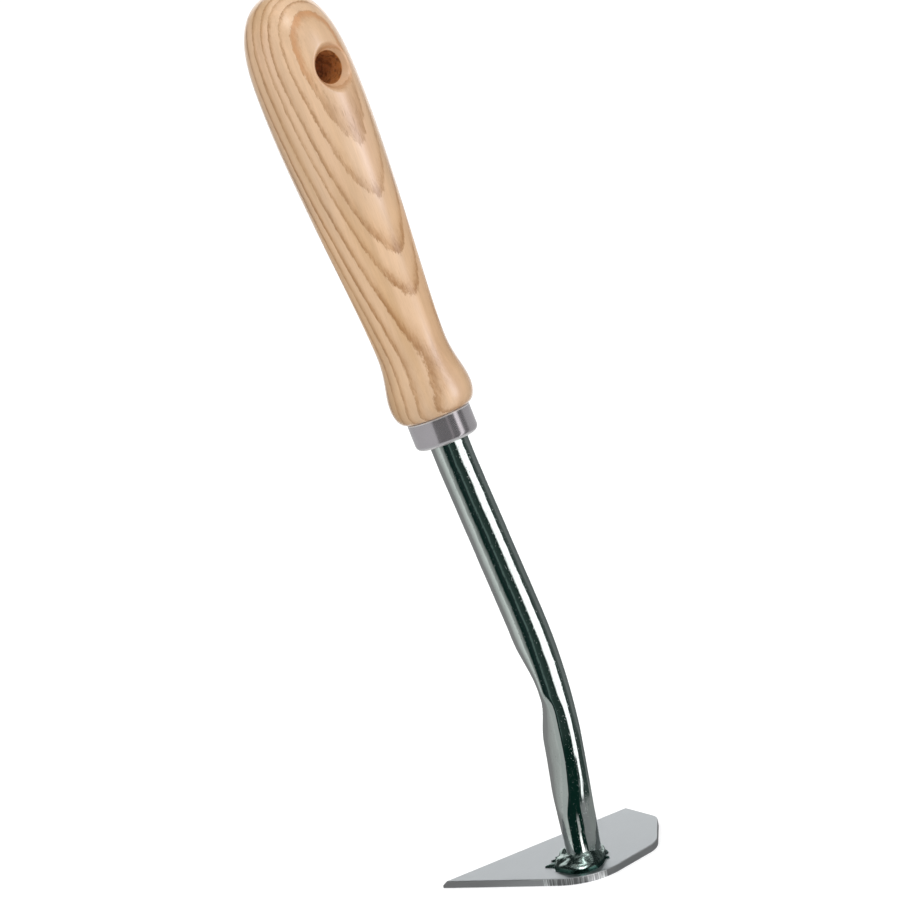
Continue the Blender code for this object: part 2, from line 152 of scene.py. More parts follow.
class Graph:
    """The nodes of one material or of the world."""

    def __init__(self, tree: bpy.types.NodeTree) -> None:
        """Starts from an empty tree."""
        self.tree = tree
        self.tree.nodes.clear()

    def node(
        self, kind: str, settings: dict | None = None, values: dict | None = None, output: int | str = 0
    ) -> Wire:
        """Adds a node.

        Args:
            kind: the node's type.
            settings: its settings, set before its sockets. "stops" holds a ramp's (place, colour) pairs.
            values: its sockets' values or wires, by name or index.
            output: the output that is wanted.

        Returns:
            The wire from that output.
        """
        made = self.tree.nodes.new(kind)
        for name, value in (settings or {}).items():
            if name == "stops":
                self._set_stops(made.color_ramp, value)
            else:
                setattr(made, name, value)
        for name, value in (values or {}).items():
            if isinstance(value, Wire):
                self.tree.links.new(value.socket, made.inputs[name])
            else:
                made.inputs[name].default_value = value
        return Wire(self, made.outputs[output])

    @staticmethod
    def _set_stops(ramp: bpy.types.ColorRamp, stops: Sequence[tuple[float, Colour]]) -> None:
        """Gives a ramp its stops, from the first to the last.

        Args:
            ramp: the ramp.
            stops: (place, colour) pairs.
        """
        while len(ramp.elements) > 1:
            ramp.elements.remove(ramp.elements[-1])
        ramp.elements[0].position = stops[0][0]
        ramp.elements[0].color = (*stops[0][1], 1.0)
        for place, colour in stops[1:]:
            ramp.elements.new(place).color = (*colour, 1.0)

    def end(self, kind: str, surface: Wire) -> None:
        """Adds the output node and sends the finished surface to it."""
        made = self.tree.nodes.new(kind)
        self.tree.links.new(surface.socket, made.inputs["Surface"])

    def place(self, axes: Matrix | None = None) -> Wire:
        """A point's place, in metres.

        Args:
            axes: a piece's own axes, or None for the frame's.

        Returns:
            The place, as a vector.
        """
        point = self.node("ShaderNodeTexCoord", output="Object")
        if axes is None:
            return point
        values = {"Vector": point, "Location": axes.to_translation(), "Rotation": axes.to_euler()}
        return self.node("ShaderNodeMapping", {"vector_type": "TEXTURE"}, values)

    def parts(self, whole: Wire, kind: str = "ShaderNodeSeparateXYZ") -> tuple[Wire, Wire, Wire]:
        """Takes a vector or a colour apart.

        Args:
            whole: the vector or the colour.
            kind: the type of the node that does it.

        Returns:
            Its three parts.
        """
        first = self.node(kind, values={0: whole})
        node = first.socket.node
        return first, Wire(self, node.outputs[1]), Wire(self, node.outputs[2])

    def blend(
        self, share: Wire | float, first: Wire | Colour, second: Wire | Colour, way: str = "MIX"
    ) -> Wire:
        """A colour between two colours.

        Args:
            share: how much of the second colour.
            first: the colour at 0.
            second: the colour at 1.
            way: the Mix node's blend type.

        Returns:
            The blended colour.
        """
        first, second = (c if isinstance(c, Wire) else (*c, 1.0) for c in (first, second))
        settings = {"data_type": "RGBA", "blend_type": way}
        return self.node("ShaderNodeMix", settings, {0: share, 6: first, 7: second}, output=2)

    def bump(self, height: Wire, distance: float, under: Wire | None = None) -> Wire:
        """The normal of a surface with a relief.

        Args:
            height: the relief.
            distance: the metres that it rises where it is 1.
            under: the normal that it lies on, if it isn't the surface's own.

        Returns:
            The normal.
        """
        values: dict = {"Height": height, "Distance": distance}
        if under is not None:
            values["Normal"] = under
        return self.node("ShaderNodeBump", values=values)


@dataclass(frozen=True)
class Mottle:
    """Noise from 0 to 1: its features to a metre, the shares of that along x, y and z, its detail and
    roughness, and the two levels that it is eased between, if it is."""

    scale: float
    shares: Triple = (1.0, 1.0, 1.0)
    detail: float = 2.0
    roughness: float = 0.5
    levels: Pair | None = None

    def on(self, place: Wire) -> Wire:
        """The noise at a place.

        Args:
            place: the place, in metres.

        Returns:
            The noise.
        """
        graph = place.graph
        point = graph.node("ShaderNodeVectorMath", {"operation": "MULTIPLY"}, {0: place, 1: self.shares})
        values = {"Vector": point, "Scale": self.scale, "Detail": self.detail, "Roughness": self.roughness}
        made = graph.node("ShaderNodeTexNoise", values=values)
        return made.eased(*self.levels) if self.levels else made


@dataclass(frozen=True)
class Tint:
    """A colour that lies over another, and its share where its mask is full."""

    colour: Colour
    share: float

    def over(self, below: Wire | Colour, mask: Wire) -> Wire:
        """The colour below with this one over it."""
        return mask.graph.blend(mask * self.share, below, self.colour)


def new_material(name: str, build: Callable[[Graph], Wire]) -> bpy.types.Material:
    """Makes a material.

    Args:
        name: its name.
        build: adds its nodes to a graph and returns its shader.

    Returns:
        The material.
    """
    made = bpy.data.materials.new(name)
    made.use_nodes = True
    graph = Graph(made.node_tree)
    graph.end("ShaderNodeOutputMaterial", build(graph))
    return made


@dataclass(frozen=True)
class RingStart:
    """Where a growth ring of the wood starts, in mm across the rings, and how dark it is there."""

    place: float
    band: float
    line: float


@dataclass(frozen=True)
class LacqueredAsh:
    """Flat-sawn ash under clear gloss lacquer.

    The rings are sheets across the handle, tilted and slightly bowed along it, so that the turned
    surface cuts them in arches on the near side. Lengths here are in mm, along the handle or across the
    rings, and a place in a ring is 0 at its start and 1 at the next. A pair is where something begins and
    where it is full.
    """

    pale: Colour = (0.765, 0.513, 0.318)
    band: Colour = (0.53, 0.288, 0.122)
    honey_and_shade: Colour = (0.58, 0.350, 0.155)
    bore: Colour = (0.55, 0.205, 0.052)
    blush: Tint = Tint((0.77, 0.475, 0.320), 0.5)
    line: Tint = Tint((0.37, 0.176, 0.062), 0.85)
    pore: Tint = Tint((0.37, 0.176, 0.062), 0.75)
    heart: Tint = Tint((0.62, 0.300, 0.125), 0.75)
    sunk: Tint = Tint((0.62, 0.300, 0.125), 0.35)
    fuzzy: Tint = Tint((0.62, 0.300, 0.125), 0.45)
    chipped: Tint = Tint((0.17, 0.055, 0.010), 0.7)
    turn: float = 3.0
    tilt: float = 0.1498
    bow: float = 0.000404
    crown: float = 1.2
    crown_along: Pair = (98.0, 140.0)
    crown_across: Pair = (16.0, 24.0)
    foot_rise: float = 2.0
    foot_along: Pair = (17.0, 9.0)
    skew: float = 0.35
    skew_along: Pair = (42.0, 28.0)
    wander: tuple[tuple[Mottle, float], ...] = (
        (Mottle(90.0, (1.0, 1.0, 0.12)), 1.2),
        (Mottle(800.0, (1.0, 1.0, 0.30), 4.0, 0.6), 1.0),
        (Mottle(2400.0, (1.0, 1.0, 0.45), 2.0, 0.6), 0.6),
    )
    lowest: float = -18.0
    highest: float = 30.0
    line_width: float = 0.32
    line_lead: Pair = (0.93, 1.0)
    fade_width: float = 0.60
    even_share: float = 0.20
    mottles: Mottle = Mottle(260.0, (1.0, 1.0, 0.12), 3.0, levels=(0.35, 0.62))
    mottle_share: float = 0.55
    flecks: Mottle = Mottle(1900.0, (1.0, 1.0, 0.22), levels=(0.40, 0.60))
    fleck_share: float = 0.25
    band_share: float = 0.50
    band_mottle: float = 0.35
    pores: Mottle = Mottle(3600.0, (1.0, 1.0, 0.07), 1.0, levels=(0.60, 0.68))
    pore_belt: Pair = (0.34, 0.02)
    belt_share: float = 0.75
    late_share: float = 0.10
    rosy: Mottle = Mottle(70.0, (1.0, 1.0, 0.12), levels=(0.45, 0.75))
    mellow: Mottle = Mottle(95.0, (1.0, 1.0, 0.12), levels=(0.44, 0.60))
    mellow_share: float = 0.50
    # Where the inner rings take the amber tone: partly the wood's own tone, partly painted shade on the
    # handle's left.
    honey_shade_across: Pair = (12.5, 3.0)
    honey_shade_share: float = 0.45
    heart_across: tuple[Pair, Pair] = ((25.0, 25.3), (26.3, 25.5))
    heart_along: Pair = (108.0, 122.0)
    tone: float = 0.96
    fibres: Mottle = Mottle(2600.0, (1.0, 1.0, 0.02))
    fibre_tone: float = 0.16
    streaks: Mottle = Mottle(420.0, (1.0, 1.0, 0.05))
    streak_tone: float = 0.26
    fuzz: Mottle = Mottle(1500.0, detail=3.0, levels=(0.40, 0.70))
    chips: Mottle = Mottle(520.0, detail=4.0, roughness=0.65, levels=(0.42, 0.64))
    relief: float = 0.00003
    pore_relief: float = -0.6
    fibre_relief: float = 0.15
    wear_and_highlight: float = 0.75
    worn_along: tuple[Pair, Pair] = ((80.0, 66.0), (26.0, 38.0))
    roughness: float = 0.42
    bare_roughness: float = 0.3
    specular: float = 0.3
    lacquer_roughness: float = 0.28
    lacquer_index: float = 1.6
    rings: tuple[RingStart, ...] = (
        RingStart(-14.4, 0.55, 0.6),
        RingStart(-10.9, 0.40, 0.7),
        RingStart(-7.8, 0.60, 0.8),
        RingStart(-4.4, 0.40, 0.6),
        RingStart(-1.0, 0.55, 0.8),
        RingStart(2.5, 0.70, 0.8),
        RingStart(6.0, 0.80, 0.9),
        RingStart(9.6, 0.95, 1.0),
        RingStart(13.6, 1.00, 1.0),
        RingStart(17.2, 0.80, 1.0),
        RingStart(19.7, 0.75, 0.9),
        RingStart(22.8, 0.55, 0.8),
        RingStart(25.1, 0.35, 0.6),
    )

    def stops(self) -> list[tuple[float, Colour]]:
        """The stops of the ramp across the rings.

        Returns:
            (Place, colour) pairs: red counts the rings, green is the band's and blue the line's darkness.
        """
        count = len(self.rings) + 1
        stops = [(0.0, (0.0, self.rings[0].band, self.rings[0].line))]
        for index, start in enumerate(self.rings):
            place = (start.place - self.lowest) / (self.highest - self.lowest)
            stops.append((place, ((index + 1) / count, start.band, start.line)))
        stops.append((1.0, (1.0, self.rings[-1].band, self.rings[-1].line)))
        return stops

    def material(self, axes: Matrix, hole: "HangingHole") -> bpy.types.Material:
        """The wood, in the handle's axes, with the hanging hole's inside left bare and darker."""
        return new_material("lacquered_ash", lambda graph: self._shader(graph, axes, hole))

    def _across(self, place: Wire, side: Wire, forward: Wire, height: Wire) -> Wire:
        """How far a point is across the rings.

        Args:
            place: the point, in the handle's axes.
            side: its x.
            forward: its y.
            height: its z, in mm.

        Returns:
            The distance in mm.
        """
        turn = math.radians(self.turn)
        across = (forward * math.cos(turn) + side * math.sin(turn)) * -MM
        across = across + height * self.tilt - height * height * self.bow
        for mottle, depth in self.wander:
            across = across + (mottle.on(place) - 0.5) * depth
        across = across + height.eased(*self.crown_along) * across.eased(*self.crown_across) * self.crown
        across = across + height.eased(*self.foot_along) * self.foot_rise
        return across + (side * MM).most(0.0) * height.eased(*self.skew_along) * self.skew

    def _shader(self, graph: Graph, axes: Matrix, hole: "HangingHole") -> Wire:
        """The wood's shader.

        Args:
            graph: the material's nodes.
            axes: the handle's axes: z runs up it and -y is its near side.
            hole: the hanging hole.

        Returns:
            The shader.
        """
        place = graph.place(axes)
        side, forward, station = graph.parts(place)
        height = station * MM
        across = self._across(place, side, forward, height)
        share = (across - self.lowest) / (self.highest - self.lowest)
        ramp = graph.node("ShaderNodeValToRGB", {"stops": self.stops()}, {"Fac": share})
        count, band_depth, line_depth = graph.parts(ramp, "ShaderNodeSeparateColor")
        year = (count * float(len(self.rings) + 1)).part()
        uneven = self.mottles.on(place) * self.mottle_share + self.even_share
        uneven = uneven + self.flecks.on(place) * self.fleck_share
        line = year.eased(self.line_width, 0.0).most(year.eased(*self.line_lead)) * uneven
        band = year.eased(self.fade_width, 0.0) * band_depth
        pores = self.pores.on(place) * (year.eased(*self.pore_belt) * self.belt_share + self.late_share)
        fibres = self.fibres.on(place)

        colour = self.blush.over(self.pale, self.rosy.on(place))
        # Amber tone on the inner rings low on the handle: partly the wood's own tone, partly painted shade
        # on the handle's left.
        honey_and_shade = across.eased(*self.honey_shade_across) * self.honey_shade_share
        honey_and_shade = honey_and_shade + self.mellow.on(place) * band_depth * self.mellow_share
        colour = graph.blend(honey_and_shade, colour, self.honey_and_shade)
        colour = graph.blend(band * (self.band_share + uneven * self.band_mottle), colour, self.band)
        colour = self.line.over(colour, line * line_depth)
        colour = self.pore.over(colour, pores)
        start, end = self.heart_across
        heart = across.eased(*start) * across.eased(*end) * height.eased(*self.heart_along)
        colour = self.heart.over(colour, heart)
        tone = self.tone + (fibres - 0.5) * self.fibre_tone
        tone = tone + (self.streaks.on(place) - 0.5) * self.streak_tone
        shade = graph.node("ShaderNodeCombineXYZ", values={0: tone, 1: tone, 2: tone})
        colour = graph.blend(1.0, colour, shade, "MULTIPLY")

        bare, sunk = hole.masks(side, forward, station)
        inside = self.chipped.over(self.fuzzy.over(self.bore, self.fuzz.on(place)), self.chips.on(place))
        colour = graph.blend(bare, self.sunk.over(colour, sunk), inside)
        top, foot = self.worn_along
        values = {
            "Base Color": colour,
            "Roughness": self.roughness + bare * self.bare_roughness,
            "Normal": graph.bump(pores * self.pore_relief + fibres * self.fibre_relief, self.relief),
            "Coat Weight": (1.0 - bare) * (1.0 - height.eased(*top) * height.eased(*foot) * self.wear_and_highlight),
            "Coat Roughness": self.lacquer_roughness,
            "Coat IOR": self.lacquer_index,
            "Specular IOR Level": self.specular,
        }
        return graph.node("ShaderNodeBsdfPrincipled", values=values)


@dataclass(frozen=True)
class BrightPlate:
    """Bright chrome plate with faint smears, specks and waves. Under a height it may be painted dark, as
    painted shade.
    """

    name: str = "chrome_plate"
    colour: Colour = (0.92, 0.96, 0.945)
    dull: Colour = (0.76, 0.82, 0.80)
    roughness: float = 0.045
    smear: float = 0.05
    swell: float = 0.00030
    swell_scale: float = 90.0
    wave: float = 0.000028
    wave_scale: float = 700.0
    wave_shares: Triple = (1.0, 1.0, 0.35)
    pit: float = 0.000012
    dark: Colour = (0.045, 0.105, 0.090)
    shade_below: float = -1.0
    shade_fade: float = 0.0007
    smears: Mottle = Mottle(210.0, (1.0, 1.0, 0.25), 4.0, levels=(0.45, 0.75))
    smear_dulling: float = 0.4
    specks: Mottle = Mottle(1900.0, levels=(0.62, 0.72))
    speck_dulling: float = 0.5
    speck_roughness: float = 0.2

    def material(self) -> bpy.types.Material:
        """The plate's material."""
        return new_material(self.name, self._shader)

    def _shader(self, graph: Graph) -> Wire:
        """The plate's shader.

        Args:
            graph: the material's nodes.

        Returns:
            The shader.
        """
        place = graph.place()
        _, _, height = graph.parts(place)
        smears = self.smears.on(place)
        specks = self.specks.on(place)
        relief = graph.bump(Mottle(self.swell_scale, detail=1.0).on(place), self.swell)
        waves = Mottle(self.wave_scale, self.wave_shares, 1.0).on(place)
        relief = graph.bump(waves, self.wave, relief)
        dulled = smears * self.smear_dulling + specks * self.speck_dulling
        # Painted shade: under the height the colour goes dark.
        painted_shade = height.eased(self.shade_below + self.shade_fade, self.shade_below)
        values = {
            "Base Color": graph.blend(painted_shade, graph.blend(dulled, self.colour, self.dull), self.dark),
            "Metallic": 1.0,
            "Roughness": self.roughness + smears * self.smear + specks * self.speck_roughness,
            "Normal": graph.bump(specks, self.pit, relief),
        }
        return graph.node("ShaderNodeBsdfPrincipled", values=values)


@dataclass(frozen=True)
class DrawnSteel:
    """Bright drawn steel with a dull film, lightly scored round the piece, and lighter at both its rims:
    partly rim wear, partly painted highlight.
    """

    height: float
    colour: Colour = (0.44, 0.42, 0.44)
    rim_highlight: Colour = (0.70, 0.68, 0.68)
    lower_highlight: Pair = (0.0010, 0.0004)
    lower_highlight_share: float = 0.8
    upper_highlight: Pair = (0.0007, 0.0004)
    highlight_roughness: float = 0.15
    highlight_dulling: float = 0.3
    metallic: float = 0.80
    roughness: float = 0.13
    scores: Mottle = Mottle(5200.0, (0.05, 0.05, 1.0), 3.0)
    score_roughness: float = 0.05
    score_depth: float = 0.000004
    film: Mottle = Mottle(330.0, detail=3.0)
    film_share: float = 0.12
    film_roughness: float = 0.04

    def material(self, axes: Matrix) -> bpy.types.Material:
        """The steel's material, for a piece that was drawn along the z of these axes."""
        return new_material("drawn_steel", lambda graph: self._shader(graph, axes))

    def _shader(self, graph: Graph, axes: Matrix) -> Wire:
        """The steel's shader.

        Args:
            graph: the material's nodes.
            axes: the axes that it was drawn along the z of.

        Returns:
            The shader.
        """
        place = graph.place(axes)
        _, _, height = graph.parts(place)
        scores = self.scores.on(place)
        film = self.film.on(place)
        # Lighter bands at the lower and upper rims: partly rim wear, partly painted highlight.
        start, full = self.upper_highlight
        wear_and_highlight = height.eased(*self.lower_highlight) * self.lower_highlight_share
        wear_and_highlight = wear_and_highlight + height.eased(self.height - start, self.height - full)
        roughness = self.roughness + scores * self.score_roughness + film * self.film_roughness
        values = {
            "Base Color": graph.blend(wear_and_highlight + film * self.film_share, self.colour, self.rim_highlight),
            "Metallic": self.metallic - wear_and_highlight * self.highlight_dulling,
            "Roughness": roughness + wear_and_highlight * self.highlight_roughness,
            "Normal": graph.bump(scores, self.score_depth),
        }
        return graph.node("ShaderNodeBsdfPrincipled", values=values)


@dataclass(frozen=True)
class GroundSteel:
    """Satin steel plate: fine grain on its faces, shear marks down its sides, a brighter ground edge, and a
    lighter line along the top of its side walls towards the back edge, partly edge wear and partly painted
    highlight.
    """

    thickness: float
    bevel_start: float
    colour: Colour = (0.66, 0.69, 0.71)
    dull: Colour = (0.57, 0.59, 0.61)
    side: Colour = (0.33, 0.33, 0.34)
    mark_and_highlight: Colour = (0.85, 0.86, 0.87)
    level_walls: Pair = (0.5, 0.2)
    bevel_blend: float = 0.0001
    grain: Mottle = Mottle(6500.0, (0.08, 1.0, 1.0), 3.0)
    grain_share: float = 0.3
    film: Mottle = Mottle(120.0, detail=3.0)
    film_share: float = 0.25
    shear: Mottle = Mottle(2300.0, (1.0, 1.0, 0.03), 1.0, levels=(0.50, 0.60))
    shear_across: tuple[Pair, Pair] = ((-0.0190, -0.0150), (0.0030, -0.0010))
    shear_behind: Pair = (0.0, -0.004)
    shear_share: float = 0.8
    shear_depth: float = 2.0
    ground_share: float = 0.4
    highlight_under_top: Pair = (0.00035, 0.00010)
    highlight_behind: Pair = (0.0, -0.002)
    highlight_share: float = 0.7
    side_metallic: float = 0.7
    roughness: float = 0.40
    grain_roughness: float = 0.12
    ground_roughness: float = -0.12
    side_roughness: float = 0.06
    relief: float = 0.000006

    def material(self) -> bpy.types.Material:
        """The plate's material."""
        return new_material("ground_steel", self._shader)

    def _shader(self, graph: Graph) -> Wire:
        """The plate's shader.

        Args:
            graph: the material's nodes.

        Returns:
            The shader.
        """
        place = graph.place()
        x, y, z = graph.parts(place)
        _, _, upward = graph.parts(graph.node("ShaderNodeNewGeometry", output="Normal"))
        wall = upward.size().eased(*self.level_walls)
        grain = self.grain.on(place)
        left, right = self.shear_across
        shear = self.shear.on(place) * x.eased(*left) * x.eased(*right) * y.eased(*self.shear_behind)
        ground = y.eased(self.bevel_start - self.bevel_blend, self.bevel_start + self.bevel_blend)
        ground = ground * (1.0 - wall)
        # Painted highlight with some edge wear: the top of the side walls towards the back edge is lighter.
        start, full = self.highlight_under_top
        wear_and_highlight = z.eased(self.thickness - start, self.thickness - full) * wall * y.eased(*self.highlight_behind)
        dulled = self.film.on(place) * self.film_share + (grain - 0.5) * self.grain_share
        colour = graph.blend(wall, graph.blend(dulled, self.colour, self.dull), self.side)
        # One light colour for the shear marks, the ground edge and that painted highlight.
        marks_and_highlight = wall * shear * self.shear_share + ground * self.ground_share + wear_and_highlight * self.highlight_share
        roughness = self.roughness + (grain - 0.5) * self.grain_roughness
        values = {
            "Base Color": graph.blend(marks_and_highlight, colour, self.mark_and_highlight),
            "Metallic": 1.0 - wall * (1.0 - self.side_metallic),
            "Roughness": roughness + ground * self.ground_roughness + wall * self.side_roughness,
            "Normal": graph.bump(grain + shear * wall * self.shear_depth, self.relief),
        }
        return graph.node("ShaderNodeBsdfPrincipled", values=values)


def eased(value: float) -> float:
    """0 to 1 smoothly, level at both ends."""
    share = min(1.0, max(0.0, value))
    return share * share * (3.0 - 2.0 * share)


def soft_least(first: float, second: float, blend: float) -> float:
    """The smaller of two values, rounded where they are closer than blend."""
    near = max(blend - abs(first - second), 0.0)
    return min(first, second) - near * near / (4.0 * blend)


def span(start: float, end: float, step: float) -> list[float]:
    """Even values from start to end, about a step apart."""
    count = max(1, math.ceil(abs(end - start) / step))
    return [start + (end - start) * index / count for index in range(count + 1)]


def heading(angle: float) -> Vector:
    """The direction in the plane at an angle in degrees."""
    return Vector((math.cos(math.radians(angle)), math.sin(math.radians(angle))))


def arc(centre: Sequence[float], radius: float, start: float, end: float, step: float) -> list[Vector]:
    """Points on an arc in the plane.

    Args:
        centre: its centre.
        radius: its radius.
        start: the angle that it starts at, in degrees.
        end: the angle that it ends at.
        step: the degrees between its points, at most.

    Returns:
        The points.
    """
    middle = Vector(centre)
    return [middle + radius * heading(angle) for angle in span(start, end, step)]


def skin(shape: bmesh.types.BMesh, rows: Sequence[Sequence[Vector]], closes: bool = True) -> None:
    """Joins rows of points by faces.

    Args:
        shape: the mesh that they go into.
        rows: the rows, each of the same number of points, or of one point at a pole.
        closes: whether each row runs round to its start.
    """
    made = [[shape.verts.new(point) for point in row] for row in rows]
    for row, after in zip(made, made[1:]):
        count = max(len(row), len(after))
        for index in range(count if closes else count - 1):
            near = (index + 1) % count
            if len(row) == 1:
                shape.faces.new((row[0], after[near], after[index]))
            elif len(after) == 1:
                shape.faces.new((row[index], row[near], after[0]))
            else:
                shape.faces.new((row[index], row[near], after[near], after[index]))


def ring(radius: float, height: float, sides: int, start: float = 0.0) -> list[Vector]:
    """A level ring of points round z.

    Args:
        radius: its radius. At 0 it is one point.
        height: its z.
        sides: how many points it has.
        start: the angle of its first point, in radians.

    Returns:
        The points.
    """
    if radius <= 0.0:
        return [Vector((0.0, 0.0, height))]
    angles = [start + 2.0 * math.pi * side / sides for side in range(sides)]
    return [Vector((radius * math.cos(a), radius * math.sin(a), height)) for a in angles]


def finished(name: str, shape: bmesh.types.BMesh, sharp: float = 38.0) -> bpy.types.Mesh:
    """Makes a mesh of a shape: joined, with its faces outwards and smooth but for its corners.

    Args:
        name: the mesh's name.
        shape: the shape, which is used up.
        sharp: the angle in degrees from which a corner stays sharp.

    Returns:
        The mesh.
    """
    bmesh.ops.remove_doubles(shape, verts=shape.verts, dist=JOIN_DISTANCE)
    bmesh.ops.recalc_face_normals(shape, faces=shape.faces)
    mesh = bpy.data.meshes.new(name)
    shape.to_mesh(mesh)
    shape.free()
    mesh.shade_smooth()
    mesh.set_sharp_from_angle(angle=math.radians(sharp))
    return mesh


def new_object(name: str, data: bpy.types.ID) -> bpy.types.Object:
    """Adds an object to the scene.

    Args:
        name: its name.
        data: its mesh, lamp or camera data.

    Returns:
        The object.
    """
    made = bpy.data.objects.new(name, data)
    bpy.context.scene.collection.objects.link(made)
    return made


@dataclass
class Piece:
    """One piece of the hoe, which stands for a node of the frame."""

    name: str
    node: str
    slot: Slot

    def put(self, mesh: bpy.types.Mesh, material: bpy.types.Material, place: Matrix) -> bpy.types.Object:
        """Places the piece's mesh, dresses it and fastens it to the frame.

        Args:
            mesh: the finished mesh, in the piece's own axes.
            material: its finish.
            place: where its own axes are in the frame.

        Returns:
            The object, which sits at the frame's origin.
        """
        mesh.transform(place)
        mesh.materials.append(material)
        made = new_object(self.name, mesh)
        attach(made, BODY)
        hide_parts(self.node)
        low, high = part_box(self.node)
        log.info("%s: %d faces, for node %s of %s mm", self.name, len(mesh.polygons), self.node,
                 " x ".join(f"{size * MM:.1f}" for size in high - low))
        return made


@dataclass(frozen=True)
class Press:
    """A flat pressed into the tube: its direction in degrees from +Y towards +X, its depth, where along
    the tube it starts, is full, is still full and ends, and how far its corners are rounded."""

    turn: float
    depth: float
    along: tuple[float, float, float, float]
    corner: float
    corner_depths: float = 1.5
    grazing: float = 0.1

    def depth_at(self, distance: float) -> float:
        """The flat's depth at a place.

        Args:
            distance: the distance along the tube.

        Returns:
            The depth.
        """
        start, full, still, end = self.along
        starting = eased((distance - start) / (full - start))
        return self.depth * starting * eased((end - distance) / (end - still))

    def pressed(self, reach: float, angle: float, radius: float, distance: float) -> float:
        """How far the wall is from the middle of the tube once the flat is pressed in.

        Args:
            reach: how far it was.
            angle: the direction, in radians from +Y towards +X.
            radius: the tube's radius.
            distance: the distance along the tube.

        Returns:
            The new reach.
        """
        depth = self.depth_at(distance)
        facing = math.cos(angle - math.radians(self.turn))
        if depth <= 0.0 or facing < self.grazing:
            return reach
        return soft_least(reach, (radius - depth) / facing, min(self.corner, self.corner_depths * depth))


@dataclass
class Neck:
    """The bent tube from the blade up into the handle."""

    diameter: float = 0.012
    wall: float = 0.0012
    foot: float = 0.0027
    bend_height: float = 0.0598
    bend_radius: float = 0.120
    lean: float = 21.5
    turn: float = -11.6
    run: float = 0.0778
    set_back: float = 2.9
    set_radius: float = 0.150
    straight_below_ferrule: float = 0.0022
    insertion: float = 0.058
    dent_below_bend: float = 0.0032
    dent_depth: float = 0.0028
    dent_reach_down: float = 0.016
    dent_reach_up: float = 0.019
    dent_turn: float = -44.0
    foot_flat: float = 0.0015
    foot_flat_height: float = 0.022
    long_flat: float = 0.00035
    presses: tuple[Press, ...] = (
        Press(-105.8, 0.00165, (0.012, 0.034, 0.048, 0.058), 0.0017),
        Press(-160.8, 0.00035, (0.018, 0.030, 0.044, 0.056), 0.0004),
    )
    sides: int = 144
    step: float = 0.0008
    finish: BrightPlate = BrightPlate()

    def runs(self) -> tuple[tuple[float, float], ...]:
        """The route from the foot up, in one upright plane.

        Returns:
            Its runs, as (length, curvature).
        """
        bend, set_back = math.radians(self.lean), math.radians(self.set_back)
        bend_tangent = self.bend_radius * math.tan(bend / 2.0)
        set_tangent = self.set_radius * math.tan(set_back / 2.0)
        return (
            (self.bend_height - self.foot - bend_tangent, 0.0),
            (self.bend_radius * bend, 1.0 / self.bend_radius),
            (self.run - bend_tangent - 2.0 * set_tangent - self.straight_below_ferrule, 0.0),
            (self.set_radius * set_back, -1.0 / self.set_radius),
            (self.straight_below_ferrule + self.insertion, 0.0),
        )

    def length(self) -> float:
        """The tube's whole length."""
        return sum(length for length, _ in self.runs())

    def point(self, distance: float) -> tuple[Vector, Vector]:
        """A place on the route.

        Args:
            distance: the distance along it from the foot.

        Returns:
            The point and the route's direction there.
        """
        outward, height, lean = 0.0, self.foot, 0.0
        for length, curvature in self.runs():
            step = min(length, distance)
            distance -= step
            after = lean + curvature * step
            if curvature:
                outward += (math.cos(lean) - math.cos(after)) / curvature
                height += (math.sin(after) - math.sin(lean)) / curvature
            else:
                outward += step * math.sin(lean)
                height += step * math.cos(lean)
            lean = after
        turn = Matrix.Rotation(math.radians(-self.turn), 3, "Z")
        return turn @ Vector((0.0, outward, height)), turn @ Vector((0.0, math.sin(lean), math.cos(lean)))

    def handle_place(self) -> Matrix:
        """Where the handle stands.

        Returns:
            Its axes: at the middle of the ferrule's lower face, with +z up the handle.
        """
        seat, along = self.point(self.length() - self.insertion)
        turn = math.radians(self.turn)
        sideways = Vector((math.cos(turn), -math.sin(turn), 0.0))
        axes = Matrix((sideways, along.cross(sideways), along)).transposed()
        return Matrix.Translation(seat) @ axes.to_4x4()

    def dent_at(self, distance: float) -> float:
        """How deep the tube is dented.

        Args:
            distance: the distance along the route.

        Returns:
            The depth there.
        """
        runs = self.runs()
        away = distance - (runs[0][0] + runs[1][0] / 2.0 - self.dent_below_bend)
        share = min(1.0, away / self.dent_reach_up if away > 0.0 else -away / self.dent_reach_down)
        bell = (1.0 + math.cos(math.pi * share)) / 2.0
        foot = (self.foot_flat - self.long_flat) * eased(1.0 - distance / self.foot_flat_height)
        flat = self.long_flat + foot if away < 0.0 else self.long_flat * bell
        return flat + (self.dent_depth - flat) * bell

    def ring(self, distance: float, radius: float) -> list[Vector]:
        """A ring of the tube's wall, round but for its dent and its pressed flats.

        Args:
            distance: the distance along the route.
            radius: the ring's radius where it is round.

        Returns:
            The ring's points.
        """
        centre, along = self.point(distance)
        north = Vector((0.0, 1.0, 0.0))
        north = (north - along * north.dot(along)).normalized()
        east = north.cross(along)
        squash = (radius - self.dent_at(distance)) / radius
        turn = math.radians(self.dent_turn)
        points = []
        for side in range(self.sides):
            angle = 2.0 * math.pi * side / self.sides
            inward, across = radius * math.cos(angle), radius * math.sin(angle)
            inward *= squash if inward > 0.0 else 1.0
            reach, course = math.hypot(inward, across), turn + math.atan2(across, inward)
            for press in self.presses:
                reach = press.pressed(reach, course, radius, distance)
            points.append(centre + (north * math.cos(course) + east * math.sin(course)) * reach)
        return points

    def build(self) -> None:
        """The tube's outer wall going up, and its inner wall coming down."""
        outer = self.diameter / 2.0
        stations = span(0.0, self.length(), self.step)
        rows = [self.ring(distance, outer) for distance in stations]
        rows += [self.ring(distance, outer - self.wall) for distance in reversed(stations)]
        shape = bmesh.new()
        skin(shape, [*rows, rows[0]])
        piece = Piece("neck_tube_chromed", "neck_tube", Slot.CHROME)
        piece.put(finished(piece.name, shape), self.finish.material(), Matrix.Identity(4))


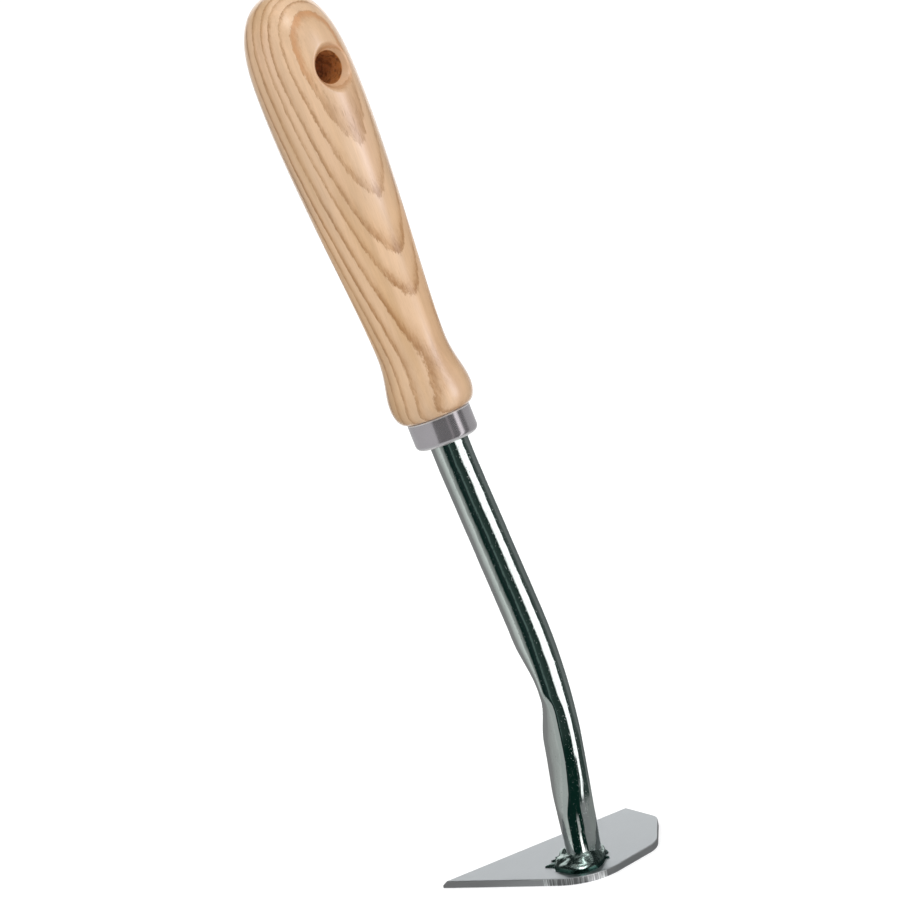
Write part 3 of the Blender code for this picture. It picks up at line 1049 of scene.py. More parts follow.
@dataclass
class Blade:
    """The flat plate, pointed at one end, with its cutting edge ground on the upper side."""

    thickness: float = 0.0024
    tip_reach: float = 0.0381
    edge_reach: float = 0.0198
    back_reach: float = 0.0139
    blunt_reach: float = 0.0300
    blunt_end: float = 0.0145
    tip_angle: float = 47.5
    back_angle: float = 13.1
    blunt_angle: float = 57.0
    end_angle: float = 14.0
    tip_round: float = 0.0004
    heel_round: float = 0.019
    back_corner_round: float = 0.008
    blunt_corner_round: float = 0.0045
    end_corner_round: float = 0.0015
    bevel_width: float = 0.0015
    edge_land: float = 0.0005
    edge_break: float = 0.00012
    sharp_angle: float = 25.0
    arc_step: float = 3.0

    @staticmethod
    def crossing(start: Vector, angle: float, other: Vector, other_angle: float) -> Vector:
        """The point where two lines in the plane cross.

        Args:
            start: a point of the first line.
            angle: its angle in degrees.
            other: a point of the second line.
            other_angle: its angle in degrees.

        Returns:
            The point.
        """
        along, across = heading(angle), heading(other_angle)
        return start + along * ((other - start).cross(across) / along.cross(across))

    def rounded(self, corners: Sequence[tuple[Vector, float]]) -> list[Vector]:
        """A closed outline with rounded corners.

        Args:
            corners: the corners as (point, radius), anticlockwise.

        Returns:
            The outline's points.
        """
        outline = []
        for index, (corner, radius) in enumerate(corners):
            before = (corners[index - 1][0] - corner).normalized()
            after = (corners[(index + 1) % len(corners)][0] - corner).normalized()
            half = before.angle(after) / 2.0
            centre = corner + (before + after).normalized() * (radius / math.sin(half))
            first = corner + before * (radius / math.tan(half)) - centre
            start = math.degrees(math.atan2(first.y, first.x))
            outline += arc(centre, radius, start, start + 180.0 - 2.0 * math.degrees(half), self.arc_step)
        return outline

    def outline(self) -> list[Vector]:
        """The blade seen from above.

        Returns:
            Its outline, anticlockwise from the pointed tip.
        """
        tip = Vector((-self.tip_reach, self.edge_reach))
        back = Vector((0.0, -self.back_reach))
        blunt = Vector((self.blunt_reach, self.edge_reach - self.blunt_end))
        heel = self.crossing(tip, -self.tip_angle, back, self.back_angle)
        back_corner = self.crossing(back, self.back_angle, blunt, self.blunt_angle)
        end = self.crossing(blunt, 90.0 + self.end_angle, tip, 0.0)
        return self.rounded((
            (tip, self.tip_round),
            (heel, self.heel_round),
            (back_corner, self.back_corner_round),
            (blunt, self.blunt_corner_round),
            (end, self.end_corner_round),
        ))

    def reach(self, angle: float) -> float:
        """How far the blade reaches from the neck's foot.

        Args:
            angle: the direction, in radians from +X towards +Y.

        Returns:
            The distance to its outline.
        """
        outline = self.outline()
        far = Vector((math.cos(angle), math.sin(angle))) * (self.tip_reach + self.edge_reach)
        crossings = [geometry.intersect_line_line_2d(Vector((0.0, 0.0)), far, start, end)
                     for start, end in zip(outline, [*outline[1:], outline[0]])]
        return min(point.length for point in crossings if point is not None)

    def build(self) -> None:
        """The plate, its ground edge and its broken corners."""
        shape = bmesh.new()
        outline = [shape.verts.new((x, y, 0.0)) for x, y in self.outline()]
        face = shape.faces.new(outline)
        risen = bmesh.ops.extrude_face_region(shape, geom=[face])["geom"]
        top = [item for item in risen if isinstance(item, bmesh.types.BMVert)]
        bmesh.ops.translate(shape, verts=top, vec=(0.0, 0.0, self.thickness))
        start = self.edge_reach - self.bevel_width
        everything = [*shape.verts, *shape.edges, *shape.faces]
        bmesh.ops.bisect_plane(shape, geom=everything, plane_co=(0.0, start, 0.0), plane_no=(0.0, 1.0, 0.0))
        slope = (self.thickness - self.edge_land) / self.bevel_width
        for point in shape.verts:
            if point.co.z > self.thickness / 2.0 and point.co.y > start:
                point.co.z -= (point.co.y - start) * slope
        piece = Piece("blade_ground", "blade", Slot.BLADE)
        finish = GroundSteel(self.thickness, start).material()
        made = piece.put(finished(piece.name, shape, self.sharp_angle), finish, Matrix.Identity(4))
        corners = made.modifiers.new("broken corners", "BEVEL")
        corners.width = self.edge_break
        corners.segments = 2
        corners.angle_limit = math.radians(self.sharp_angle)
        corners.harden_normals = True


@dataclass(frozen=True)
class Lobe:
    """A place where the bead reaches further out: its direction and width in degrees, its reach, and how
    finely it is drawn out where it ends in a point."""

    direction: float
    width: float
    reach: float
    fineness: float = 1.4

    def nearness(self, angle: float) -> float:
        """1 in the lobe's own direction, and 0 from its edges outwards."""
        away = abs((angle - self.direction + 180.0) % 360.0 - 180.0)
        return max(0.0, 1.0 - away / self.width)

    def at(self, angle: float) -> float:
        """How far the lobe reaches at an angle in degrees."""
        return self.reach * eased(self.nearness(angle))

    def spike_at(self, angle: float) -> float:
        """How far it reaches at an angle in degrees if it ends in a point."""
        return self.reach * self.nearness(angle) ** self.fineness


@dataclass
class WeldBead:
    """The bead round the neck's foot: it hugs the tube, flows to the blade and ends in short spikes."""

    tube_radius: float
    floor: float
    blade: Blade
    rise: float = 0.0018
    spread: float = 0.0011
    inset: float = 0.0016
    toe: float = 0.00030
    rim: float = 0.30
    rim_rise: float = 0.0013
    hollow: float = 1.5
    edge_margin: float = 0.0004
    sides: int = 288
    steps: int = 36
    sharp_angle: float = 60.0
    spikes: int = 11
    seed: int = 5
    spike_drift: float = 0.3
    spike_widths: Pair = (6.0, 10.0)
    spike_reaches: Pair = (0.0002, 0.0008)
    lump: float = 0.0007
    lump_scale: float = 230.0
    wrinkle: float = 0.00012
    wrinkle_scale: float = 700.0
    swell_growth: float = 1.4
    lobes: tuple[Lobe, ...] = (
        Lobe(233.0, 88.0, 0.0046),
        Lobe(186.0, 34.0, 0.0011),
    )
    drips: tuple[Lobe, ...] = (
        Lobe(168.0, 14.0, 0.0036),
        Lobe(151.0, 7.0, 0.0024),
        Lobe(138.0, 8.0, 0.0014),
        Lobe(306.0, 9.0, 0.0012),
        Lobe(330.0, 9.0, 0.0006),
    )
    heap: Lobe = Lobe(243.0, 85.0, 0.0021)
    finish: BrightPlate = BrightPlate(
        name="plated_weld",
        colour=(0.31, 0.39, 0.365),
        dull=(0.15, 0.21, 0.19),
        roughness=0.20,
        smear=0.12,
        swell=0.00005,
        swell_scale=300.0,
        wave=0.00001,
        wave_scale=1100.0,
        pit=0.00001,
        # The lowest band of the bead, by the blade, gets painted shade.
        shade_below=0.0032,
    )

    def small_spikes(self) -> list[Lobe]:
        """Draws the short spikes.

        Returns:
            The spikes, at uneven places all round.
        """
        draws = random.Random(self.seed)
        made = []
        for index in range(self.spikes):
            direction = 360.0 / self.spikes * (index + draws.uniform(-self.spike_drift, self.spike_drift))
            width = draws.uniform(*self.spike_widths)
            made.append(Lobe(direction, width, draws.uniform(*self.spike_reaches)))
        return made

    def section(self, angle: float, spikes: Iterable[Lobe]) -> list[Vector]:
        """A slice of the bead, from the tube's side of its floor round to its crest and back down.

        Args:
            angle: the slice's direction, in radians from +X towards +Y.
            spikes: the spikes all round.

        Returns:
            The slice's points.
        """
        degrees = math.degrees(angle)
        limit = self.blade.reach(angle) - self.edge_margin - self.tube_radius
        body = min(self.spread + sum(lobe.at(degrees) for lobe in self.lobes), limit)
        reach = min(body + sum(spike.spike_at(degrees) for spike in spikes), limit)
        rise = self.rise + self.heap.at(degrees)
        out = Vector((math.cos(angle), math.sin(angle), 0.0))
        base = Vector((0.0, 0.0, self.floor))
        points = [base + out * (self.tube_radius - self.inset), base + out * (self.tube_radius + reach)]
        for step in range(self.steps + 1):
            share = step / self.steps
            outward = reach - (reach + self.inset) * share
            inward = 1.0 - min(1.0, max(0.0, outward) / body)
            rounded = math.sqrt(1.0 - (1.0 - min(1.0, inward / self.rim)) ** 2)
            upward = self.toe + self.rim_rise * rounded + (rise - self.rim_rise) * inward**self.hollow
            point = base + out * (self.tube_radius + outward) + Vector((0.0, 0.0, upward))
            swell = noise.noise(point * self.lump_scale) * self.lump
            swell += noise.noise(point * self.wrinkle_scale) * self.wrinkle
            upright = math.sin(math.pi * min(1.0, share * self.swell_growth) / 2.0)
            points.append(point + (out * (1.0 - share) + Vector((0.0, 0.0, 1.0))) * swell * upright)
        return points

    def build(self) -> bpy.types.Object:
        """Joins the bead's slices round the tube.

        Returns:
            The bead.
        """
        spikes = [*self.drips, *self.small_spikes()]
        angles = [2.0 * math.pi * side / self.sides for side in range(self.sides)]
        rows = [[*section, section[0]] for section in (self.section(a, spikes) for a in angles)]
        shape = bmesh.new()
        skin(shape, [*rows, rows[0]], closes=False)
        piece = Piece("weld_bead_plated", "weld_bead", Slot.WELD)
        mesh = finished(piece.name, shape, self.sharp_angle)
        return piece.put(mesh, self.finish.material(), Matrix.Identity(4))


@dataclass
class Ferrule:
    """The drawn cup on the handle's tenon."""

    tube_radius: float
    diameter: float = 0.0194
    height: float = 0.0086
    wall: float = 0.001
    lower_round: float = 0.0019
    inner_round: float = 0.0009
    rim_round: float = 0.00045
    gap: float = 0.0003
    sides: int = 128
    arc_step: float = 6.0

    def profile(self) -> list[Vector]:
        """The cup's section.

        Returns:
            (Radius, height) points: down the outside, across the floor and up the inside.
        """
        outer, rim, top = self.diameter / 2.0, self.rim_round, self.height
        inner = outer - self.wall
        hole = self.tube_radius + self.gap
        inside = (inner - self.inner_round, self.wall + self.inner_round)
        return [
            *arc((outer - rim, top - rim), rim, 90.0, 0.0, self.arc_step),
            *arc((outer - self.lower_round, self.lower_round), self.lower_round, 0.0, -90.0, self.arc_step),
            *arc((hole + rim, rim), rim, -90.0, -180.0, self.arc_step),
            Vector((hole, self.wall)),
            *arc(inside, self.inner_round, -90.0, 0.0, self.arc_step),
            Vector((inner, top)),
        ]

    def build(self, place: Matrix) -> bpy.types.Object:
        """Turns the cup about the handle's axis.

        Args:
            place: the handle's axes.

        Returns:
            The cup.
        """
        rows = [ring(radius, height, self.sides) for radius, height in self.profile()]
        shape = bmesh.new()
        skin(shape, [*rows, rows[0]])
        piece = Piece("ferrule_drawn", "ferrule", Slot.FERRULE)
        return piece.put(finished(piece.name, shape), DrawnSteel(self.height).material(place), place)


@dataclass
class HangingHole:
    """The hole drilled across the handle at a station along its axis, countersunk at both ends."""

    station: float
    turn: float = 4.5
    diameter: float = 0.0099
    sink_width: float = 0.0026
    sink_depth: float = 0.0031
    rim_round: float = 0.0009
    bare_past_drill: Pair = (0.00020, 0.00002)
    sunk_widths_past: Pair = (1.1, 0.6)

    def start_angle(self) -> float:
        """The angle round the handle's axis of the hole's near mouth."""
        return math.radians(self.turn - 90.0)

    def depth_at(self, reach: float, surface: float, level: float) -> float:
        """How far from the handle's axis the wood stands at a reach from the hole's own axis.

        Args:
            reach: the distance from the hole's axis.
            surface: the handle's radius at the hole.
            level: how far the uncut surface stands there.

        Returns:
            The distance along the hole's axis.
        """
        slope = self.sink_depth / self.sink_width
        cone = surface - self.sink_depth + (reach - self.diameter / 2.0) * slope
        return soft_least(level, cone, self.rim_round)

    def masks(self, side: Wire, forward: Wire, station: Wire) -> tuple[Wire, Wire]:
        """Where the wood is bare inside the hole, and where it is countersunk.

        Args:
            side: a point's x, in the handle's axes.
            forward: its y.
            station: its z.

        Returns:
            The two masks.
        """
        angle = math.radians(self.turn)
        across = side * math.cos(angle) + forward * math.sin(angle)
        above = station - self.station
        past = (across * across + above * above) ** 0.5 - self.diameter / 2.0
        start, full = self.sunk_widths_past
        sunk = past.eased(start * self.sink_width, full * self.sink_width)
        return past.eased(*self.bare_past_drill), sunk


@dataclass
class Handle:
    """The turned ash handle, bored for the tube and drilled across for hanging."""

    tube_radius: float
    ferrule: Ferrule
    insertion: float
    bulb_station: float = 0.0145
    bulb_diameter: float = 0.0254
    waist_station: float = 0.0302
    waist_diameter: float = 0.0211
    belly_diameter: float = 0.0301
    length: float = 0.1412
    butt_length: float = 0.0332
    hole_from_end: float = 0.0252
    bulb_pull: float = 0.30
    waist_pull_down: float = 0.45
    waist_pull_up: float = 0.20
    belly_pull: float = 0.35
    dome_fullness: float = 3.0
    dome_roundness: float = 0.45
    bore_end_gap: float = 0.002
    gap: float = 0.0003
    shoulder_gap: float = 0.0001
    sides: int = 96
    step: float = 0.001
    dome_step: float = 2.5
    bulb_step: float = 5.0
    tenon_step: float = 9.0
    window_step: float = 0.1
    sink_step: float = 0.0002
    bore_step: float = 0.0012
    halvings: int = 40
    band_reach: float = 0.0122
    patch_reach: float = 0.0090
    finish: LacqueredAsh = LacqueredAsh()

    def __post_init__(self) -> None:
        """Places the hanging hole."""
        self.hole = HangingHole(self.length - self.hole_from_end)

    def swept(self, station: float, lower: Pair, upper: Pair, pulls: Pair) -> float:
        """The radius on a curve between two (radius, station) points, level with the axis at both.

        Args:
            station: the station asked for.
            lower: the lower point.
            upper: the upper point.
            pulls: how far the lower and the upper end keep to their own radius.

        Returns:
            The radius there.
        """
        low, high = 0.0, 1.0
        wanted = (station - lower[1]) / (upper[1] - lower[1])
        for _ in range(self.halvings):
            t = (low + high) / 2.0
            rest = 1.0 - t
            along = 3.0 * rest * rest * t * pulls[0] + 3.0 * rest * t * t * (1.0 - pulls[1]) + t**3
            if along < wanted:
                low = t
            else:
                high = t
        return lower[0] + (upper[0] - lower[0]) * eased(t)

    def radius_at(self, station: float) -> float:
        """The handle's radius above its bulb.

        Args:
            station: the place along its axis.

        Returns:
            The radius.
        """
        belly = (self.belly_diameter / 2.0, self.length - self.butt_length)
        waist = (self.waist_diameter / 2.0, self.waist_station)
        bulb = (self.bulb_diameter / 2.0, self.bulb_station)
        if station >= belly[1]:
            share = (station - belly[1]) / self.butt_length
            return belly[0] * max(0.0, 1.0 - share**self.dome_fullness) ** self.dome_roundness
        if station >= waist[1]:
            return self.swept(station, waist, belly, (self.waist_pull_up, self.belly_pull))
        return self.swept(station, bulb, waist, (self.bulb_pull, self.waist_pull_down))

    def upper_rows(self, band_top: float) -> list[tuple[float, float]]:
        """The rows from the end of the butt down to the band that holds the hole's mouths.

        Args:
            band_top: the station of the band's top.

        Returns:
            (Radius, station) pairs.
        """
        belly = self.length - self.butt_length
        start = (band_top - belly) / self.butt_length
        angles = span(math.pi / 2.0, math.asin(start), math.radians(self.dome_step))
        stations = [belly + self.butt_length * math.sin(angle) for angle in angles]
        return [(self.radius_at(station), station) for station in stations]

    def lower_rows(self, band_foot: float) -> list[tuple[float, float]]:
        """The rows from that band down to the ferrule, over the tenon and up the bore.

        Args:
            band_foot: the station of the band's foot.

        Returns:
            (Radius, station) pairs.
        """
        shoulder = self.ferrule.height + self.shoulder_gap
        bulb, rim = self.bulb_diameter / 2.0, self.ferrule.diameter / 2.0
        stations = span(band_foot, self.bulb_station, self.step)
        rows = [(self.radius_at(station), station) for station in stations]
        for x, y in arc((0.0, 0.0), 1.0, 0.0, 90.0, self.bulb_step)[1:]:
            rows.append((rim + (bulb - rim) * x, self.bulb_station - (self.bulb_station - shoulder) * y))
        tenon = rim - self.ferrule.wall - self.gap
        floor = self.ferrule.wall + self.gap
        corner = self.ferrule.lower_round
        rows.append((tenon, shoulder))
        turned = arc((tenon - corner, floor + corner), corner, 0.0, -90.0, self.tenon_step)
        rows += [tuple(point) for point in turned]
        bore = self.tube_radius + self.gap
        top = self.insertion + self.bore_end_gap
        return [*rows, (bore, floor), (bore, top), (0.0, top)]

    def mouth(self, start: float) -> list[list[Vector]]:
        """Rows from the window round one mouth of the hanging hole to the middle of its bore.

        Args:
            start: the angle of the mouth round the handle's axis.

        Returns:
            Closed rows of points, in the handle's own axes.
        """
        station, drill = self.hole.station, self.hole.diameter / 2.0
        quarter = self.sides // 4
        columns = [math.pi / 2.0 * index / quarter for index in range(-quarter, quarter + 1)]
        levels = span(-self.band_reach, self.band_reach, self.step)
        window = [(angle, levels[0]) for angle in columns]
        window += [(columns[-1], level) for level in levels[1:-1]]
        window += [(angle, levels[-1]) for angle in reversed(columns)]
        window += [(columns[0], level) for level in reversed(levels[1:-1])]
        surface = self.radius_at(station)
        turns = [math.atan2(level, surface * angle) for angle, level in window]
        direction = Vector((math.cos(start), math.sin(start), 0.0))
        sideways = Vector((-math.sin(start), math.cos(start), 0.0))

        def on_surface(angle: float, level: float) -> Vector:
            """A point of the turned surface."""
            radius, turn = self.radius_at(station + level), start + angle
            return Vector((radius * math.cos(turn), radius * math.sin(turn), station + level))

        def on_sink(reach: float, turn: float, along: float | None = None) -> Vector:
            """A point of the countersink or of the bore.

            Args:
                reach: its distance from the hole's axis.
                turn: its angle round that axis.
                along: its place along the bore, or None on the countersink.

            Returns:
                The point.
            """
            across, level = reach * math.cos(turn), reach * math.sin(turn)
            if along is None:
                uncut = math.sqrt(self.radius_at(station + level) ** 2 - across * across)
                along = self.hole.depth_at(reach, surface, uncut)
            return direction * along + sideways * across + Vector((0.0, 0.0, station + level))

        rows = []
        for share in span(1.0, 0.0, self.window_step)[:-1]:
            row = []
            for (angle, level), turn in zip(window, turns):
                inner_level = self.patch_reach * math.sin(turn)
                radius = self.radius_at(station + inner_level)
                inner_angle = math.asin(self.patch_reach * math.cos(turn) / radius)
                row.append(on_surface(inner_angle + (angle - inner_angle) * share,
                                      inner_level + (level - inner_level) * share))
            rows.append(row)
        reaches = span(self.patch_reach, drill, self.sink_step)
        rows += [[on_sink(reach, turn) for turn in turns] for reach in reaches]
        foot = min(self.hole.depth_at(drill, surface, surface), surface)
        places = span(foot, 0.0, self.bore_step)[1:]
        return rows + [[on_sink(drill, turn, along) for turn in turns] for along in places]

    def build(self, place: Matrix) -> bpy.types.Object:
        """The rows above and below the band, and the band with the hole's two mouths.

        Args:
            place: the handle's axes.

        Returns:
            The handle.
        """
        start = self.hole.start_angle()
        top, foot = self.hole.station + self.band_reach, self.hole.station - self.band_reach
        shape = bmesh.new()
        for rows in (self.upper_rows(top), self.lower_rows(foot)):
            skin(shape, [ring(radius, station, self.sides, start) for radius, station in rows])
        for turn in (0.0, math.pi):
            skin(shape, self.mouth(start + turn))
        piece = Piece("handle_lacquered", "handle", Slot.ASH)
        return piece.put(finished(piece.name, shape), self.finish.material(place, self.hole), place)


def grey(level: float) -> Colour:
    """A colour that is the same in red, green and blue."""
    return level, level, level


@dataclass(frozen=True)
class Card:
    """A sheet of the studio's reflected surround, from one angle to another right of the camera, with its
    colours at both. It has one colour if the second isn't given."""

    start: float
    end: float
    first: Colour
    last: Colour | None = None

    def stops(self) -> list[tuple[float, Colour]]:
        """Its stops on a ramp round the studio, which is at 0.5 where the camera stands."""
        return [(self.start / 360.0 + 0.5, self.first), (self.end / 360.0 + 0.5, self.last or self.first)]


@dataclass(frozen=True)
class Patch:
    """A patch of the surround's floor near the foot: its angles right of the camera, the reaches from the
    foot at which it starts to fade and has gone, its colour, and the reach at which it begins."""

    start: float
    end: float
    near: float
    far: float
    colour: Colour
    begins: float = 0.0
    side_blur: float = 2.0
    begin_blur: float = 0.006

    def mask(self, turn: Wire, away: Wire) -> Wire:
        """Where the patch is.

        Args:
            turn: a point's angle right of the camera.
            away: its reach from the foot.

        Returns:
            The mask.
        """
        blur = self.side_blur
        inside = turn.eased(self.start - blur, self.start + blur)
        inside = inside * turn.eased(self.end + blur, self.end - blur)
        inside = inside * away.eased(self.begins - self.begin_blur, self.begins)
        return inside * away.eased(self.far, self.near)


@dataclass(frozen=True)
class Lamp:
    """A soft square lamp aimed at the hoe: its name, its angles right of the camera and above the floor,
    its distance, its side, its watts, whether shiny surfaces reflect it and whether it lights dull ones."""

    name: str
    turn: float
    rise: float
    distance: float
    size: float
    power: float
    shows: bool = False
    lights: bool = True


class Lit(Enum):
    """What a source that is linked to one piece lights."""

    PIECE = "INCLUDE"
    ALL_ELSE = "EXCLUDE"


BEHIND_HOE = grey(1.35)


@dataclass
class Studio:
    """The plain studio: floor, surround, lamps and camera."""

    turn: float = 27.23
    rise: float = 22.3
    roll: float = -10.06
    distance: float = 2.673
    lens: float = 360.0
    sensor: float = 36.0
    clip: Pair = (0.1, 50.0)
    picture: float = 900.0
    foot_across: float = 584.0
    foot_down: float = 863.5
    floor_radius: float = 8.0
    floor_sides: int = 96
    drum_sides: int = 180
    drum_height: float = 1.3
    drum_opening: float = 0.006
    outer_radius: float = 0.9
    outer_level: float = 0.0002
    inner_radius: float = 0.8
    inner_level: float = 0.0004
    fill: float = 0.86
    lift: float = 0.34
    paper: float = 0.80
    floor_to_wall: Pair = (0.054, 0.064)
    overhead: Pair = (0.46, 0.62)
    dark: Colour = (0.017, 0.027, 0.025)
    under_ferrule: Colour = (0.72, 0.74, 0.74)
    under_reach: Pair = (0.20, 0.14)
    under_height: Pair = (0.002, 0.001)
    strip: Lamp = Lamp("strip", 69.5, 14.0, 1.1, 0.22, 3.6, True, False)
    strip_height: float = 0.9
    strip_colour: Colour = (0.74, 0.80, 1.0)
    gleam: Lamp = Lamp("gleam", 8.0, 62.0, 1.0, 0.34, 3.8, True, False)
    lamps: tuple[Lamp, ...] = (
        Lamp("key", 50.0, 38.0, 1.1, 0.5, 2.4),
        Lamp("left", -78.0, 32.0, 1.1, 0.6, 1.4),
        Lamp("top", 4.0, 67.0, 1.0, 0.22, 0.9, True),
    )
    walls: tuple[Card, ...] = (
        Card(-180.0, -152.0, BEHIND_HOE),
        Card(-148.0, -105.0, grey(0.20)),
        Card(-104.0, -65.0, (0.20, 0.20, 0.197), (0.54, 0.58, 0.56)),
        Card(-58.0, -49.0, (0.27, 0.29, 0.28), (0.20, 0.22, 0.21)),
        Card(-39.0, -14.0, (0.002, 0.014, 0.011), (0.013, 0.024, 0.023)),
        Card(-11.0, -5.0, (0.070, 0.108, 0.098)),
        Card(-1.0, 30.0, (0.024, 0.042, 0.037), (0.012, 0.024, 0.020)),
        Card(38.0, 73.5, (1.15, 1.18, 1.17), (1.25, 1.28, 1.28)),
        Card(77.0, 100.0, (0.014, 0.030, 0.025), (0.066, 0.080, 0.076)),
        Card(106.0, 148.0, (0.130, 0.146, 0.142), (0.100, 0.110, 0.110)),
        Card(155.0, 180.0, BEHIND_HOE),
    )
    floors: tuple[Card, ...] = (
        Card(-180.0, -152.0, BEHIND_HOE),
        Card(-148.0, -105.0, grey(0.17), grey(0.20)),
        Card(-104.0, -50.0, (0.20, 0.20, 0.197), (0.38, 0.42, 0.40)),
        Card(-43.0, 28.0, (0.002, 0.014, 0.011), (0.007, 0.015, 0.013)),
        Card(36.0, 70.0, (0.17, 0.18, 0.18), (0.20, 0.207, 0.207)),
        Card(76.0, 148.0, (0.20, 0.213, 0.207)),
        Card(155.0, 180.0, BEHIND_HOE),
    )
    patches: tuple[Patch, ...] = (
        Patch(-14.0, 33.0, 0.105, 0.150, (0.003, 0.016, 0.012)),
        Patch(-82.0, -47.0, 0.120, 0.165, (0.33, 0.355, 0.345), 0.050),
        Patch(82.0, 112.0, 0.110, 0.160, (0.030, 0.045, 0.040), 0.056),
        Patch(-80.0, -44.0, 0.016, 0.034, (0.62, 0.66, 0.64)),
        Patch(36.0, 80.0, 0.016, 0.028, (0.10, 0.125, 0.118)),
        Patch(3.0, 14.0, 0.020, 0.046, (1.60, 1.62, 1.60)),
        Patch(12.0, 26.0, 0.013, 0.026, (1.30, 1.32, 1.30)),
        Patch(30.0, 51.0, 0.076, 0.098, (0.02, 0.034, 0.030), 0.056),
        Patch(66.0, 82.0, 0.061, 0.075, (0.02, 0.034, 0.030), 0.056),
    )
    ferrule_cards: tuple[Card, ...] = (
        Card(-180.0, -31.0, (0.57, 0.58, 0.575), (0.70, 0.70, 0.71)),
        Card(-29.5, 20.0, (0.095, 0.092, 0.093), (0.075, 0.075, 0.077)),
        Card(23.5, 26.5, (0.38, 0.35, 0.36)),
        Card(30.0, 54.0, (0.040, 0.040, 0.042)),
        Card(56.0, 69.0, (1.75, 1.70, 1.72), (1.50, 1.46, 1.48)),
        Card(73.0, 90.0, (0.050, 0.050, 0.052)),
        Card(98.0, 180.0, grey(0.47), grey(0.66)),
    )

    def aim(self) -> tuple[Vector, Vector, Vector]:
        """The camera's own directions.

        Returns:
            Right, up and forward.
        """
        turn, rise, roll = (math.radians(angle) for angle in (self.turn, self.rise, self.roll))
        level = Vector((math.cos(turn), -math.sin(turn), 0.0))
        out = math.cos(rise)
        forward = Vector((math.sin(turn) * out, math.cos(turn) * out, -math.sin(rise)))
        upright = level.cross(forward)
        right = level * math.cos(roll) + upright * math.sin(roll)
        return right, right.cross(forward), forward

    def make_camera(self) -> None:
        """The long lens that the hoe is seen through, placed by where the neck's foot is in the picture."""
        right, up, forward = self.aim()
        pixel = self.distance * self.sensor / self.lens / self.picture
        middle = self.picture / 2.0
        across = (self.foot_across - middle) * pixel
        down = (self.foot_down - middle) * pixel
        data = bpy.data.cameras.new("camera")
        data.lens = self.lens
        data.sensor_width = self.sensor
        data.clip_start, data.clip_end = self.clip
        camera = new_object("camera", data)
        place = Matrix.Translation(up * down - right * across - forward * self.distance)
        camera.matrix_world = place @ Matrix((right, up, -forward)).transposed().to_4x4()
        bpy.context.scene.camera = camera

    @staticmethod
    def seen(graph: Graph) -> Wire:
        """Picks out the rays that show what they meet.

        Args:
            graph: the nodes that it is for.

        Returns:
            1 for the camera's own rays and for those that metal and glass send on.
        """
        rays = [graph.node("ShaderNodeLightPath", output=name)
                for name in ("Is Camera Ray", "Is Glossy Ray", "Is Transmission Ray")]
        return rays[0].most(rays[1]).most(rays[2])

    def make_world(self) -> None:
        """Even pale light from all round, behind a white background."""
        world = bpy.data.worlds.new("studio")
        bpy.context.scene.world = world
        world.use_nodes = True
        graph = Graph(world.node_tree)
        light = graph.blend(self.seen(graph), grey(self.fill), grey(1.0))
        graph.end("ShaderNodeOutputWorld", graph.node("ShaderNodeBackground", values={"Color": light}))

    def _floor_shader(self, graph: Graph) -> Wire:
        """White paper that takes a shadow, lifted to the background's white.

        Args:
            graph: the material's nodes.

        Returns:
            The shader.
        """
        paper = graph.node("ShaderNodeBsdfDiffuse", values={"Color": (*grey(self.paper), 1.0)})
        glow = graph.blend(self.seen(graph), grey(0.0), grey(self.lift))
        lift = graph.node("ShaderNodeEmission", values={"Color": glow})
        return graph.node("ShaderNodeAddShader", values={0: paper, 1: lift})

    @staticmethod
    def _round_the_foot(graph: Graph) -> tuple[Wire, Wire, Wire]:
        """A point's share of the turn, which is 0.5 at the camera, its reach from the foot, and its z."""
        x, y, z = graph.parts(graph.place())
        return y.angle_over(x) / (2.0 * math.pi) + 0.5, (x * x + y * y) ** 0.5, z

    @staticmethod
    def _cards(share: Wire, cards: Sequence[Card]) -> Wire:
        """The colour of a ring of cards at a share of the turn."""
        stops = [stop for card in cards for stop in card.stops()]
        return share.graph.node("ShaderNodeValToRGB", {"stops": stops}, {"Fac": share})

    def _surround_shader(self, graph: Graph) -> Wire:
        """The cards that stand round the hoe, those on the floor by its foot, and the dark ceiling.

        Args:
            graph: the material's nodes.

        Returns:
            The shader.
        """
        share, away, height = self._round_the_foot(graph)
        walls = away.eased(*self.floor_to_wall)
        colour = graph.blend(walls, self._cards(share, self.floors), self._cards(share, self.walls))
        turn = share * 360.0 - 180.0
        for patch in self.patches:
            colour = graph.blend(patch.mask(turn, away), colour, patch.colour)
        colour = graph.blend(height.eased(*self.overhead), colour, self.dark)
        return graph.node("ShaderNodeEmission", values={"Color": colour})

    def _ferrule_shader(self, graph: Graph) -> Wire:
        """The cards that only the ferrule sees. What is behind them shines through.

        Args:
            graph: the material's nodes.

        Returns:
            The shader.
        """
        share, away, height = self._round_the_foot(graph)
        under = height.eased(*self.under_height) * away.eased(*self.under_reach)
        colour = graph.blend(under, self._cards(share, self.ferrule_cards), self.under_ferrule)
        glow = graph.node("ShaderNodeEmission", values={"Color": colour})
        clear = graph.node("ShaderNodeBsdfTransparent")
        return graph.node("ShaderNodeAddShader", values={0: glow, 1: clear})

    def make_floor(self) -> None:
        """The floor under the blade."""
        shape = bmesh.new()
        skin(shape, [ring(reach, 0.0, self.floor_sides) for reach in (0.0, self.floor_radius)])
        floor = new_object("floor", finished("floor", shape))
        floor.data.materials.append(new_material("white_paper", self._floor_shader))

    @staticmethod
    def light_only(source: bpy.types.Object, piece: bpy.types.Object, lit: Lit = Lit.PIECE) -> None:
        """Lets a source light one piece alone, or everything but that piece.

        Args:
            source: the lamp or the shining object.
            piece: the piece.
            lit: which of the two.
        """
        linked = bpy.data.collections.new(f"{source.name}_light")
        linked.objects.link(piece)
        linked.collection_objects[0].light_linking.link_state = lit.value
        source.light_linking.receiver_collection = linked

